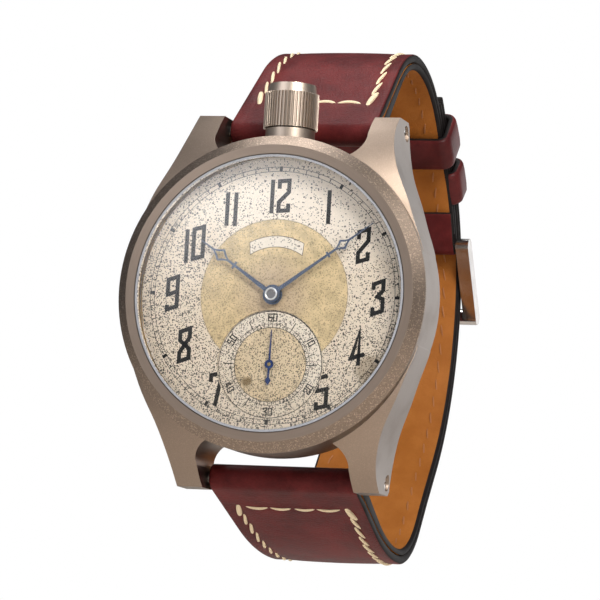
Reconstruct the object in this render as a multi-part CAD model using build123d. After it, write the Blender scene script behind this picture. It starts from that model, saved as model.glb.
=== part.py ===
from build123d import *
import math
import os

# Wrist-worn deck watch made from a pocket chronometer movement.
# X points to 3 o'clock, Z to 12 o'clock and the dial faces -Y.
# The origin is the centre of the rear face of the case back. Units are mm.

# --- case ------------------------------------------------------------------
CASE_R = 23.0
CASE_BORE_R = 20.6
CASE_FRONT_Y = -9.7
CASE_REAR_Y = -2.0
BEZEL_FLAT_R = 21.49
BEZEL_FRONT_Y = -11.5
BEZEL_RIM_Y = -10.1
APERTURE_R = 20.08
CRYSTAL_R = 19.72
CRYSTAL_APEX_Y = -12.7
BACK_GLASS_R = 17.3
LUG_IN_X = 11.45
LUG_OUT_X = 15.3
LUG_TIP_Z = 27.4
BAR_Y = 2.7
BAR_Z = 25.6
BAR_R = 0.9
LUG_SCREW_R = 1.18
STEM_Y = -5.2
CROWN_R = 3.95
CROWN_RIDGES = 48
CROWN_SKIRT_Z = 24.7
CROWN_CAP_Z = 29.9
CROWN_TOP_Z = 31.2

# --- movement levels (y) ---------------------------------------------------
DIAL_Y = -8.0
PLATE_FRONT_Y = -7.55
PLATE_REAR_Y = -6.0
BRIDGE_FRONT_Y = -3.2
BRIDGE_REAR_Y = -2.0
PLATE_R = 19.85

# --- movement plan positions (x, z) -----------------------------------------
CENTRE = (0.0, 0.0)
THIRD = (4.37, -5.72)
FOURTH = (0.0, -10.0)
ESCAPE = (-4.811, -11.38)
PALLET = (-6.62, -7.59)
BALANCE = (-9.2, -2.2)
BARREL = (5.30, 7.57)
CROWN_WHEEL = (-0.9, 12.9)
MINUTE_WHEEL = (3.0, 0.0)

# --- strap ------------------------------------------------------------------
ROLL_R = 1.95
LEATHER_T = 1.4
STRAP_GAP = 0.03
THICK_LUG = 3.85
THICK_END = 2.35
TAIL_LIFT = 0.12
UPPER_ANGLE = 39.5
LOWER_ANGLE = 20.5
UPPER_STEPS = [("line", 15.2), ("arc", 21.6, 39.5), ("arc", 24.2, 43.0), ("line", 9.7), ("arc", 29.5, 47.0)]
TAIL_OFFSET = TAIL_LIFT + THICK_END
LOWER_STEPS = [
    ("line", 14.0),
    ("arc", 48.0, 20.5),
    ("arc", 16.0, 50.0),
    ("line", 13.36),
    ("arc", 41.12, 40.0),
    ("arc", 29.5 + TAIL_OFFSET, 47.0),
    ("line", 9.7),
    ("arc", 24.2 + TAIL_OFFSET, 5.0),
]
TONGUE_S = 95.8
BUCKLE_S = 71.5
BUCKLE_BAR_R = 0.75
BUCKLE_ROLL_R = 1.4
FIXED_KEEPER_S = 61.3
FREE_KEEPER_S = 53.0
KEEPER_W = 5.6
KEEPER_T = 1.2


# --- small helpers ----------------------------------------------------------
def disc(radius, y0, y1, at=(0.0, 0.0)):
    """Cylinder along Y between y0 and y1 at plan position (x, z)."""
    return Pos(at[0], (y0 + y1) / 2, at[1]) * Rot(90, 0, 0) * Cylinder(radius, y1 - y0)


def ring(inner, outer, y0, y1, at=(0.0, 0.0)):
    """Flat ring along Y."""
    return disc(outer, y0, y1, at) - disc(inner, y0 - 1, y1 + 1, at)


def block(x0, x1, y0, y1, z0, z1):
    """Box between two corners."""
    centre = Pos((x0 + x1) / 2, (y0 + y1) / 2, (z0 + z1) / 2)
    return centre * Box(x1 - x0, y1 - y0, z1 - z0)


def plate(face, y0, y1, at=(0.0, 0.0)):
    """Extrude a sketch drawn in (x, z) from y0 to y1."""
    return Pos(at[0], y1, at[1]) * Rot(90, 0, 0) * extrude(face, y1 - y0)


def polygon(points):
    """Closed sketch face through straight points."""
    return make_face(Polyline(*points, close=True))


def lathe(profile):
    """Turn a closed (radius, y) profile about the Y axis."""
    return revolve(polygon(profile), axis=Axis.Y)


def side_plate(face, x0, x1):
    """Extrude a sketch drawn in (y, z) from x0 to x1."""
    return Plane.YZ.offset(x0) * extrude(face, x1 - x0)


def rod_x(radius, x0, x1, y, z):
    """Cylinder along X."""
    return Pos((x0 + x1) / 2, y, z) * Rot(0, 90, 0) * Cylinder(radius, x1 - x0)


def rod_z(radius, z0, z1, x=0.0, y=STEM_Y):
    """Cylinder along Z."""
    return Pos(x, y, (z0 + z1) / 2) * Cylinder(radius, z1 - z0)


def mirrored(shape):
    """The shape together with its mirror image across x = 0."""
    return shape + mirror(shape, about=Plane.YZ)


def polar(radius, degrees, at=(0.0, 0.0)):
    """Plan point at a radius and angle (0 on +X, 90 on +Z)."""
    turn = math.radians(degrees)
    return (at[0] + radius * math.cos(turn), at[1] + radius * math.sin(turn))


def heading(start, end):
    """Plan angle in degrees from one point to another."""
    return math.degrees(math.atan2(end[1] - start[1], end[0] - start[0]))


# --- gears ------------------------------------------------------------------
def toothed(teeth, module, first_angle):
    """Outline of a gear with one tooth centred on first_angle."""
    pitch = 360 / teeth
    root = module * (teeth / 2 - 1.15)
    tip = module * (teeth / 2 + 0.8)
    points = []
    for index in range(teeth):
        middle = first_angle + index * pitch
        points.append(polar(root, middle - 0.25 * pitch))
        points.append(polar(tip, middle - 0.09 * pitch))
        points.append(polar(tip, middle + 0.09 * pitch))
        points.append(polar(root, middle + 0.25 * pitch))
    return polygon(points)


def gap_towards(teeth, angle):
    """First-tooth angle that leaves a tooth gap centred on the given angle."""
    return angle + 180 / teeth


def spoked(outline, rim_inner, hub_r, arms, arm_width, first_angle=90.0):
    """Cut windows in a wheel outline, leaving a rim, a hub and arms."""
    web = Circle(rim_inner) - Circle(hub_r)
    for index in range(arms):
        arm = Pos(rim_inner / 2, 0) * Rectangle(rim_inner + 0.2, arm_width)
        web -= Rot(0, 0, first_angle + index * 360 / arms) * arm
    return outline - web


def arbor(at, radius, y0, y1, pivot_r, pivot_len):
    """Turned arbor with a thin pivot at each end."""
    body = disc(radius, y0, y1, at)
    return body + disc(pivot_r, y0 - pivot_len, y1 + pivot_len, at)


# --- strap curves -----------------------------------------------------------
def strap_curve(angle, steps, samples=10):
    """Outer surface of one strap half as (s, y, z, heading) with z positive."""
    turn = math.radians(angle)
    y = BAR_Y - ROLL_R * math.sin(turn)
    z = BAR_Z + ROLL_R * math.cos(turn)
    rows = [(0.0, y, z, turn)]
    run = 0.0
    for step in steps:
        if step[0] == "line":
            for index in range(1, samples + 1):
                part = step[1] * index / samples
                rows.append((run + part, y + part * math.cos(turn), z + part * math.sin(turn), turn))
            run += step[1]
        else:
            radius, sweep = step[1], math.radians(step[2])
            cy = y + radius * math.sin(turn)
            cz = z - radius * math.cos(turn)
            for index in range(1, samples + 1):
                now = turn - sweep * index / samples
                place = (cy - radius * math.sin(now), cz + radius * math.cos(now))
                rows.append((run + radius * (turn - now), place[0], place[1], now))
            run += radius * sweep
            turn -= sweep
        y, z = rows[-1][1], rows[-1][2]
    return rows


def at_length(rows, s):
    """Point (y, z) and heading at arc length s."""
    for low, high in zip(rows, rows[1:]):
        if s <= high[0]:
            share = (s - low[0]) / (high[0] - low[0])
            return tuple(low[i] + share * (high[i] - low[i]) for i in (1, 2, 3))
    return rows[-1][1:]


def thickness(s):
    """Total strap thickness at arc length s."""
    return THICK_END + (THICK_LUG - THICK_END) * max(0.0, 1 - s / 30) ** 1.5


def offset_points(rows, s0, s1, depth, flip):
    """Points a given depth inside the outer surface between two lengths."""
    stops = [s0] + [row[0] for row in rows if s0 + 0.4 < row[0] < s1 - 0.4] + [s1]
    points = []
    for s in stops:
        y, z, turn = at_length(rows, s)
        inset = depth(s)
        points.append((y + inset * math.sin(turn), flip * (z - inset * math.cos(turn))))
    return points


def band(rows, s0, s1, outer_depth, inner_depth, flip=1):
    """Closed strap cross-section between two depths and two lengths."""
    outer = offset_points(rows, s0, s1, outer_depth, flip)
    inner = offset_points(rows, s0, s1, inner_depth, flip)
    edges = [Spline(*outer), Line(outer[-1], inner[-1]), Spline(*reversed(inner)), Line(inner[0], outer[0])]
    return make_face(edges)


def taper():
    """Prism that narrows both strap halves from the lugs to the buckle."""
    half = [(-3, 11.15), (2, 11.15), (30, 10.05), (48, 9.6), (75, 9.5)]
    points = [(w, y) for y, w in half] + [(-w, y) for y, w in reversed(half)]
    return Pos(0, 0, -60) * extrude(polygon(points), 120)


UPPER = strap_curve(UPPER_ANGLE, UPPER_STEPS)
LOWER = strap_curve(LOWER_ANGLE, LOWER_STEPS)
LOWER_END_S = LOWER[-1][0]


def buckle_bar_centre():
    """Axis of the buckle bar inside the folded end of the upper strap."""
    y, z, turn = at_length(UPPER, BUCKLE_S)
    return y + BUCKLE_ROLL_R * math.sin(turn), z - BUCKLE_ROLL_R * math.cos(turn)


# --- case parts --------------------------------------------------------------
def lug():
    """One lug at the upper right corner, from its front and side outlines."""
    outer_edge = [(LUG_OUT_X, LUG_TIP_Z), (15.4, 25), (16.0, 22), (17.2, 18.5), (19.1, 14.5), (20.55, 10.8), (21.55, 8.3), (22.2, 6.0)]
    front = make_face(
        [
            Spline(*outer_edge),
            Polyline((22.2, 6.0), (18.0, 6.0), (8.6, 19.0), (9.6, 21.0)),
            Spline((9.6, 21.0), (10.7, 21.9), (11.35, 23.0), (LUG_IN_X, 24.4)),
            Polyline((LUG_IN_X, 24.4), (LUG_IN_X, LUG_TIP_Z), (LUG_OUT_X, LUG_TIP_Z)),
        ]
    )
    side = make_face(
        [
            Spline((-9.0, 6.0), (-8.7, 14.0), (-7.0, 20.0), (-4.2, 24.4), (-0.9, LUG_TIP_Z)),
            Polyline((-0.9, LUG_TIP_Z), (3.6, LUG_TIP_Z), (4.4, 26.7), (4.4, 25.0)),
            Spline((4.4, 25.0), (3.7, 22.4), (2.4, 19.6), (0.7, 16.4), (-0.8, 12.6), (-2.0, 6.0)),
            Line((-2.0, 6.0), (-9.0, 6.0)),
        ]
    )
    solid = plate(front, -10, 6) & side_plate(side, 8, 22)
    solid -= disc(22.5, CASE_REAR_Y, 8)
    return solid


def case_middle():
    corner = lug()
    pair = mirrored(corner)
    lugs = pair + mirror(pair, about=Plane.XY)
    body = disc(CASE_R, CASE_FRONT_Y + 0.05, CASE_REAR_Y) + lugs
    body -= disc(CASE_BORE_R, -12, 0)
    body -= disc(21.35, -3.3, 0)
    body -= disc(21.92, -2.45, 0)
    body -= disc(21.65, -12, -9.0)
    body -= rod_z(3.65, 22.6, 26)
    body -= rod_z(1.97, 19, 24)
    for z in (BAR_Z, -BAR_Z):
        body -= rod_x(BAR_R + 0.03, -20, 20, BAR_Y, z)
        for x0, x1 in ((13.4, 20), (-20, -13.4)):
            body -= rod_x(LUG_SCREW_R + 0.03, x0, x1, BAR_Y, z)
    return body


def bezel():
    return lathe(
        [
            (APERTURE_R, BEZEL_FRONT_Y),
            (BEZEL_FLAT_R, BEZEL_FRONT_Y),
            (CASE_R, BEZEL_RIM_Y),
            (CASE_R, CASE_FRONT_Y),
            (21.6, CASE_FRONT_Y),
            (21.6, -9.05),
            (20.65, -9.05),
            (20.65, CASE_FRONT_Y),
            (19.95, CASE_FRONT_Y),
            (19.95, -10.05),
            (APERTURE_R, -10.05),
        ]
    )


def crystal():
    rise = CRYSTAL_APEX_Y - BEZEL_FRONT_Y
    outer = [(CRYSTAL_R * t, BEZEL_FRONT_Y + rise * (1 - t * t)) for t in (0, 0.25, 0.5, 0.75, 1)]
    inner = [(r * 0.985, y + 1.25) for r, y in outer]
    profile = make_face(
        [
            Spline(*outer),
            Polyline(outer[-1], (CRYSTAL_R, -10.1), (inner[-1][0], -10.1), inner[-1]),
            Spline(*reversed(inner)),
            Line(inner[0], outer[0]),
        ]
    )
    return revolve(profile, axis=Axis.Y)


def crystal_gasket():
    return ring(CRYSTAL_R + 0.01, APERTURE_R - 0.01, -11.45, -10.07)


def case_back_ring():
    body = lathe(
        [
            (16.8, -1.4),
            (20.75, -1.4),
            (20.75, -3.2),
            (21.3, -3.2),
            (21.3, -1.95),
            (22.4, -1.95),
            (22.4, -0.5),
            (21.9, 0),
            (BACK_GLASS_R + 0.03, 0),
            (BACK_GLASS_R + 0.03, -1.0),
            (16.8, -1.0),
        ]
    )
    for index in range(6):
        slot = block(20.6, 23, -0.8, 1, -0.9, 0.9)
        body -= Rot(0, 30 + index * 60, 0) * slot
    return body


def case_back_crystal():
    return disc(BACK_GLASS_R, -0.98, 0)


def back_gasket():
    return ring(21.4, 21.88, -2.4, -1.97)


def movement_ring():
    body = ring(19.95, 20.55, PLATE_FRONT_Y, -3.4)
    return body - rod_z(0.95, 18, 22)


def crown_tube():
    body = rod_z(3.6, 22.62, 24.55) + rod_z(1.95, 20.65, 27.3)
    return body - rod_z(0.85, 19, 28)


def strap_bar(side):
    return rod_x(BAR_R, -13.35, 13.35, BAR_Y, side * BAR_Z)


def strap_bar_screws():
    screws = None
    for z in (BAR_Z, -BAR_Z):
        head = rod_x(LUG_SCREW_R, 13.42, 15.05, BAR_Y, z)
        head -= block(14.5, 16, BAR_Y - 2, BAR_Y + 2, z - 0.22, z + 0.22)
        pair = mirrored(head)
        screws = pair if screws is None else screws + pair
    return screws


# --- crown and winding -------------------------------------------------------
def crown():
    pitch = 360 / CROWN_RIDGES
    points = []
    for index in range(CROWN_RIDGES):
        points.append(polar(CROWN_R - 0.22, (index - 0.28) * pitch))
        points.append(polar(CROWN_R, (index - 0.14) * pitch))
        points.append(polar(CROWN_R, (index + 0.14) * pitch))
        points.append(polar(CROWN_R - 0.22, (index + 0.28) * pitch))
    height = CROWN_CAP_Z - CROWN_SKIRT_Z
    skirt = Pos(0, STEM_Y, CROWN_SKIRT_Z) * extrude(polygon(points), height)
    cap = Pos(0, STEM_Y, CROWN_CAP_Z) * Cone(3.62, 3.42, 1.3, align=(Align.CENTER, Align.CENTER, Align.MIN))
    body = skirt + cap
    return body - rod_z(2.45, 20, 28.6) - rod_z(0.77, 20, 30.2)


def crown_gasket():
    return rod_z(2.4, 24.9, 25.9) - rod_z(1.98, 20, 30)


def winding_stem():
    square = Pos(0, STEM_Y, 16.0) * Box(0.9, 0.9, 3.0)
    return rod_z(0.74, 17.4, 30.1) + square


def winding_pinion():
    teeth = Pos(0, STEM_Y, 15.1) * extrude(toothed(15, 0.235, 0), 1.3)
    hub = rod_z(1.3, 16.4, 17.1)
    square = Pos(0, STEM_Y, 16.0) * Box(1.0, 1.0, 4.0)
    return teeth + hub - square


def crown_wheel():
    first = heading(CROWN_WHEEL, BARREL)
    gear = plate(toothed(30, 0.2272, first), -1.9, -1.45, CROWN_WHEEL)
    drum = disc(2.8, -3.12, -1.9, CROWN_WHEEL)
    return gear + drum - disc(1.03, -4, 0, CROWN_WHEEL)


def crown_wheel_screw():
    body = disc(0.98, -3.1, -1.4, CROWN_WHEEL) + disc(1.55, -1.42, -1.12, CROWN_WHEEL)
    slot = block(-2, 2, -1.25, 0, -0.13, 0.13)
    return body - Pos(CROWN_WHEEL[0], 0, CROWN_WHEEL[1]) * Rot(0, 25, 0) * slot


def ratchet_wheel():
    towards = heading(BARREL, CROWN_WHEEL)
    gear = plate(toothed(42, 0.2272, gap_towards(42, towards)), -1.9, -1.45, BARREL)
    return gear - Pos(BARREL[0], -1.7, BARREL[1]) * Box(1.62, 4, 1.62)


def barrel_arbor():
    body = disc(1.4, -4.8, -3.68, BARREL) + disc(0.9, -5.05, -1.95, BARREL)
    body += disc(0.55, -6.6, -5.0, BARREL)
    square = Pos(BARREL[0], -1.6, BARREL[1]) * Box(1.55, 0.7, 1.55)
    return body + square


# --- going train ---------------------------------------------------------------
def mainspring_barrel():
    towards = heading(BARREL, CENTRE)
    flange = plate(toothed(72, 0.22, gap_towards(72, towards)), -5.05, -4.65, BARREL)
    drum = disc(7.15, -5.05, -3.45, BARREL)
    return flange + drum - disc(6.75, -4.85, -3.0, BARREL) - disc(0.95, -6, -3, BARREL)


def barrel_cover():
    return ring(1.0, 6.72, -3.62, -3.45, BARREL)


def mainspring():
    coils = None
    for index in range(7):
        coil = ring(3.2 + index * 0.48, 3.4 + index * 0.48, -4.75, -3.75, BARREL)
        coils = coil if coils is None else coils + coil
    hook = block(BARREL[0] + 1.45, BARREL[0] + 6.3, -4.6, -3.9, BARREL[1] - 0.1, BARREL[1] + 0.1)
    return coils + hook


def centre_wheel():
    first = heading(CENTRE, THIRD)
    outline = toothed(64, 0.2, first)
    wheel = plate(spoked(outline, 5.5, 1.5, 5, 0.7), -5.75, -5.42)
    pinion = plate(toothed(12, 0.22, heading(CENTRE, BARREL)), -5.15, -4.5)
    body = wheel + pinion + disc(0.6, -5.95, -3.3)
    return body + disc(0.28, -3.3, -2.15) + disc(0.45, -9.2, -5.9)


def cannon_pinion():
    first = heading(CENTRE, MINUTE_WHEEL)
    leaves = plate(toothed(12, 0.125, first), -7.05, -6.65)
    pipe = disc(0.62, -9.35, -6.65) + disc(0.93, -9.52, -9.26)
    return leaves + pipe - disc(0.46, -9.25, -6) - disc(0.66, -9.6, -9.42)


def third_wheel():
    outline = toothed(60, 0.18, heading(THIRD, FOURTH))
    wheel = plate(spoked(outline, 4.7, 1.1, 5, 0.6), -4.05, -3.75, THIRD)
    leaves = toothed(8, 0.2, gap_towards(8, heading(THIRD, CENTRE)))
    pinion = plate(leaves, -5.85, -5.2, THIRD)
    return wheel + pinion + arbor(THIRD, 0.4, -5.9, -3.3, 0.2, 0.85)


def fourth_wheel():
    outline = toothed(70, 0.13, heading(FOURTH, ESCAPE))
    wheel = plate(spoked(outline, 3.95, 0.9, 5, 0.5), -5.3, -5.02, FOURTH)
    leaves = toothed(8, 0.18, gap_towards(8, heading(FOURTH, THIRD)))
    pinion = plate(leaves, -4.2, -3.6, FOURTH)
    body = wheel + pinion + disc(0.35, -5.9, -3.3, FOURTH)
    return body + disc(0.2, -3.3, -2.45, FOURTH) + disc(0.25, -8.45, -5.9, FOURTH)


def escape_wheel():
    points = []
    for index in range(15):
        base = index * 24
        points.append(polar(2.45, base))
        points.append(polar(2.45, base + 13))
        points.append(polar(3.1, base + 19))
        points.append(polar(3.1, base + 21))
    wheel = plate(spoked(polygon(points), 2.0, 0.7, 4, 0.4), -4.55, -4.3, ESCAPE)
    leaves = toothed(7, 0.13, gap_towards(7, heading(ESCAPE, FOURTH)))
    pinion = plate(leaves, -5.4, -4.9, ESCAPE)
    return wheel + pinion + arbor(ESCAPE, 0.25, -5.9, -3.3, 0.12, 0.7)


PALLET_REACH = -0.24


def pallet_fork():
    """Lever whose pallet stones stop just outside the escape wheel."""
    to_escape = heading(PALLET, ESCAPE)
    to_balance = heading(PALLET, BALANCE)
    arms = None
    for side in (-1, 1):
        tip = polar(1.9, to_escape + side * 62, PALLET)
        mid = ((tip[0] + PALLET[0]) / 2, (tip[1] + PALLET[1]) / 2)
        arm = Pos(*mid) * Rot(0, 0, to_escape + side * 62) * Rectangle(2.4, 0.6)
        stone = Pos(*polar(PALLET_REACH, to_escape, tip)) * Rot(0, 0, to_escape) * Rectangle(0.9, 0.45)
        arms = arm + stone if arms is None else arms + arm + stone
    lever_mid = polar(2.1, to_balance, PALLET)
    lever = Pos(*lever_mid) * Rot(0, 0, to_balance) * Rectangle(4.2, 0.55)
    horn = Pos(*polar(4.25, to_balance, PALLET)) * Rot(0, 0, to_balance) * Rectangle(0.7, 1.3)
    notch = Pos(*polar(4.5, to_balance, PALLET)) * Rot(0, 0, to_balance) * Rectangle(0.7, 0.5)
    outline = arms + lever + horn + Pos(*PALLET) * Circle(0.75) - notch
    return plate(outline, -4.55, -4.3) + arbor(PALLET, 0.25, -5.9, -4.05, 0.12, 0.5)


def balance_wheel():
    rim = ring(4.7, 5.35, -3.25, -2.7, BALANCE)
    arms = Rot(0, 20, 0) * block(-4.9, 4.9, -3.15, -2.9, -0.3, 0.3)
    arms += Rot(0, -70, 0) * block(-4.9, 4.9, -3.15, -2.9, -0.3, 0.3)
    body = rim + Pos(BALANCE[0], 0, BALANCE[1]) * arms + disc(0.8, -3.2, -2.85, BALANCE)
    body -= disc(0.41, -4, -2, BALANCE)
    for index in range(12):
        spot = polar(5.35, 15 + index * 30, BALANCE)
        body += disc(0.42, -3.15, -2.75, spot)
    return body


def balance_staff():
    body = disc(0.4, -5.6, -2.1, BALANCE) + disc(1.3, -4.25, -4.0, BALANCE)
    body += disc(0.11, -6.5, -1.6, BALANCE)
    pin = disc(0.16, -4.7, -4.25, polar(1.0, heading(BALANCE, PALLET), BALANCE))
    return body + pin


def hairspring():
    points = []
    for index in range(4 * 24 + 1):
        points.append(polar(0.6 + 2.9 * index / 96, index * 15, BALANCE))
    path = Spline(*points)
    start = Plane(origin=path @ 0, x_dir=(0, 0, 1), z_dir=path % 0)
    wire = sweep(start * Rectangle(0.2, 0.08), path=path)
    return Pos(0, -2.3, 0) * Rot(90, 0, 0) * wire


# --- plates and bridges ---------------------------------------------------------
JEWEL_HOLES = {CENTRE: 0.31, THIRD: 0.23, FOURTH: 0.23, ESCAPE: 0.15}
CLICK = (10.6, 11.6)
BARREL_FEET = [(-14.6, 8.6), (-6.6, 16.4), (16.0, 1.6)]
TRAIN_FEET = [(13.4, -3.6), (8.5, -13.6), (-2.4, -17.0)]
COCK_FOOT = (-15.9, -6.6)
PALLET_FOOT = (-10.6, -10.3)
SCREW_SPOTS = BARREL_FEET + TRAIN_FEET + [COCK_FOOT]


def main_plate():
    body = disc(PLATE_R, PLATE_FRONT_Y, PLATE_REAR_Y)
    body -= disc(5.7, PLATE_FRONT_Y - 1, -6.55)
    body -= block(-2.4, 2.4, -7.35, -5, 14.9, 17.3)
    body -= rod_z(0.95, 17, 22)
    for at, radius in ((CENTRE, 0.64), (THIRD, 0.24), (FOURTH, 0.3), (ESCAPE, 0.16), (PALLET, 0.16)):
        body -= disc(radius, -8, -5, at)
    body -= disc(0.16, -8, -5, BALANCE) + disc(0.6, -6.9, -5, BARREL)
    return body


def motion_post():
    return disc(0.3, -7.3, -6.6, MINUTE_WHEEL)


def bridge(outline, feet, holes):
    """Flat bridge with round feet, pivot holes and screw counterbores."""
    disc_face = Circle(18.9) - Pos(*BALANCE) * Circle(6.15)
    body = plate(disc_face & outline, BRIDGE_FRONT_Y, BRIDGE_REAR_Y)
    for foot in feet:
        body += disc(1.35, PLATE_REAR_Y, BRIDGE_FRONT_Y, foot)
        body -= disc(0.95, -2.45, 0, foot)
    for at, radius in holes:
        body -= disc(radius, -4, 0, at)
    return body


def jewel_seats():
    """Cutter for the press-in jewels of the train bridge."""
    seats = disc(0.92, -2.6, 0, CENTRE)
    for at in (THIRD, FOURTH, ESCAPE):
        seats += disc(0.92, -2.6, 0, at)
    return seats


def barrel_bridge():
    outline = polygon([(-19, 1.6), (-3.0, 1.6), (-1.0, 2.6), (2.0, 1.2), (19, -0.4), (19, 19), (-19, 19)])
    body = bridge(outline, BARREL_FEET, [(BARREL, 0.95), (CROWN_WHEEL, 2.86)])
    return body - disc(0.5, -2.6, 0, CLICK)


def train_bridge():
    edge = [(-2.2, 1.1), (-0.9, 2.1), (1.9, 0.8), (19, -0.8), (19, -19), (-8.0, -19)]
    outline = polygon(edge + [(-7.0, -13.8), (-5.9, -9.8), (-3.3, -8.6), (-2.2, -4)])
    body = bridge(outline, TRAIN_FEET, [(at, hole + 0.03) for at, hole in JEWEL_HOLES.items()])
    return body - jewel_seats()


def pallet_bridge():
    turn = heading(PALLET_FOOT, PALLET)
    middle = ((PALLET_FOOT[0] + PALLET[0]) / 2, (PALLET_FOOT[1] + PALLET[1]) / 2)
    outline = Pos(*middle) * Rot(0, 0, turn) * Rectangle(4.8, 1.5)
    outline += Pos(*PALLET_FOOT) * Circle(1.2) + Pos(*PALLET) * Circle(0.9)
    body = plate(outline, -3.98, -3.5) + disc(1.1, PLATE_REAR_Y, -3.9, PALLET_FOOT)
    return body - disc(0.16, -4.2, -3.0, PALLET)


def balance_cock():
    turn = heading(COCK_FOOT, BALANCE)
    middle = ((COCK_FOOT[0] + BALANCE[0]) / 2, (COCK_FOOT[1] + BALANCE[1]) / 2)
    outline = Pos(*middle) * Rot(0, 0, turn) * Rectangle(8.0, 2.8)
    outline += Pos(*BALANCE) * Circle(2.1) + Pos(*COCK_FOOT) * Circle(2.3)
    body = plate(outline, -1.97, -1.5) + disc(2.0, PLATE_REAR_Y, -1.9, COCK_FOOT)
    body -= disc(0.95, -1.85, 0, COCK_FOOT)
    body -= disc(0.15, -3, 0, BALANCE)
    return body - disc(0.92, -1.96, 0, BALANCE)


def regulator():
    body = ring(1.15, 1.6, -1.46, -1.26, BALANCE)
    turn = heading(COCK_FOOT, BALANCE)
    pointer = Pos(BALANCE[0], 0, BALANCE[1]) * Rot(0, -turn, 0) * block(1.5, 5.2, -1.46, -1.26, -0.14, 0.14)
    tail = Pos(BALANCE[0], 0, BALANCE[1]) * Rot(0, 60 - turn, 0) * block(1.5, 3.0, -1.46, -1.26, -0.3, 0.3)
    return body + pointer + tail


def jewels():
    stones = ring(0.14, 0.6, -1.95, -1.52, BALANCE)
    for at, hole in JEWEL_HOLES.items():
        stones += ring(hole, 0.6, -2.58, -2.02, at)
    return stones


def jewel_settings():
    rings = ring(0.61, 0.9, -1.96, -1.48, BALANCE)
    for at in JEWEL_HOLES:
        rings += ring(0.61, 0.9, -2.59, -1.98, at)
    return rings


def plate_screws():
    screws = None
    for index, at in enumerate(SCREW_SPOTS):
        top = -1.5 if at == COCK_FOOT else -2.0
        head = disc(0.9, top - 0.33, top, at)
        slot = block(-1.2, 1.2, top - 0.15, top + 1, -0.12, 0.12)
        head -= Pos(at[0], 0, at[1]) * Rot(0, 37 * index, 0) * slot
        screws = head if screws is None else screws + head
    return screws


def click():
    """Ratchet pawl resting just clear of the ratchet teeth."""
    towards = heading(CLICK, BARREL)
    reach = math.dist(CLICK, BARREL) - 4.77 - 0.35
    arm = Pos(*polar(reach / 2, towards, CLICK)) * Rot(0, 0, towards) * Rectangle(reach, 0.8)
    outline = arm + Pos(*CLICK) * Circle(1.1)
    return plate(outline, -1.9, -1.5) - disc(0.5, -4, 0, CLICK)


def click_screw():
    body = disc(0.45, -1.98, -1.4, CLICK) + disc(0.8, -1.48, -1.2, CLICK)
    return body - Pos(CLICK[0], 0, CLICK[1]) * Rot(0, 70, 0) * block(-1, 1, -1.32, 0, -0.12, 0.12)


# --- dial side -------------------------------------------------------------------
def minute_wheel():
    first = gap_towards(36, heading(MINUTE_WHEEL, CENTRE))
    wheel = plate(toothed(36, 0.125, first), -7.0, -6.75, MINUTE_WHEEL)
    pinion = plate(toothed(10, 0.12, heading(MINUTE_WHEEL, CENTRE)), -7.45, -7.0, MINUTE_WHEEL)
    return wheel + pinion - disc(0.33, -8, -6, MINUTE_WHEEL)


def hour_wheel():
    first = gap_towards(40, heading(CENTRE, MINUTE_WHEEL))
    wheel = plate(toothed(40, 0.12, first), -7.42, -7.15)
    return wheel + disc(1.0, -8.75, -7.15) - disc(0.7, -10, -6)


def dial():
    body = disc(19.9, DIAL_Y, -7.6) - disc(1.25, -9, -7)
    return body - disc(7.88, -9, -7, FOURTH)


def seconds_dial():
    return disc(7.85, -7.82, -7.6, FOURTH) - disc(0.4, -9, -7, FOURTH)


def hand(length, cross, diamond, half, root, hub_r):
    """Needle hand drawn pointing to 12 with a cross-bar and an open, hollow-sided diamond."""
    low, high = diamond
    middle = (low + high) / 2
    shaft = polygon([(-root / 2, 0), (root / 2, 0), (0.16, low + 0.25), (-0.16, low + 0.25)])
    outer = open_diamond(low, middle, high, half)
    inner = open_diamond(low + 0.62, middle, high - 0.62, half - 0.34)
    needle = polygon([(-0.15, high - 0.35), (0.15, high - 0.35), (0.05, length), (-0.05, length)])
    bar = Pos(0, cross) * Rectangle(half * 1.15, 0.3)
    return shaft + (outer - inner) + needle + bar + Circle(hub_r)


def open_diamond(low, middle, high, half):
    """Diamond whose sides curve in towards its middle line."""
    lower = (half * 0.36, (low + middle) / 2)
    upper = (half * 0.36, (high + middle) / 2)
    right = [(0, low), lower, (half, middle), upper, (0, high)]
    left = [(-x, y) for x, y in reversed(right[1:-1])]
    return polygon(right + left)


def turned_hand(outline, degrees, y0, y1, at=(0.0, 0.0)):
    """Place a hand at a clock angle measured clockwise from 12."""
    return plate(Rot(0, 0, -degrees) * outline, y0, y1, at)


def hour_hand():
    outline = hand(13.75, 7.3, (8.1, 11.6), 1.0, 0.72, 1.45) - Circle(1.02)
    return turned_hand(outline, 304.6, -8.75, -8.6)


def minute_hand():
    outline = hand(18.0, 10.0, (11.0, 14.1), 0.8, 0.6, 1.2) - Circle(0.64)
    return turned_hand(outline, 54, -9.25, -9.1)


def seconds_hand():
    needle = polygon([(-0.16, 0), (0.16, 0), (0.05, 5.0), (-0.05, 5.0)])
    tail = Pos(0, -1.1) * Rectangle(0.26, 1.9)
    diamond = polygon([(0, -1.7), (0.42, -2.35), (0, -3.0), (-0.42, -2.35)])
    outline = needle + tail + diamond + Circle(0.65) - Circle(0.27)
    return turned_hand(outline, 1, -8.4, -8.25, FOURTH)


# --- strap ------------------------------------------------------------------------
def strap_shell(face):
    """Full-width strap piece narrowed by the taper."""
    return side_plate(face, -12, 12) & taper()


def wrap_bar(layer, flip):
    """Add the leather roll round a strap bar to the outer layer."""
    roll = rod_x(ROLL_R, -12, 12, BAR_Y, flip * BAR_Z) & taper()
    return layer + roll - rod_x(BAR_R + 0.03, -13, 13, BAR_Y, flip * BAR_Z)


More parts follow.
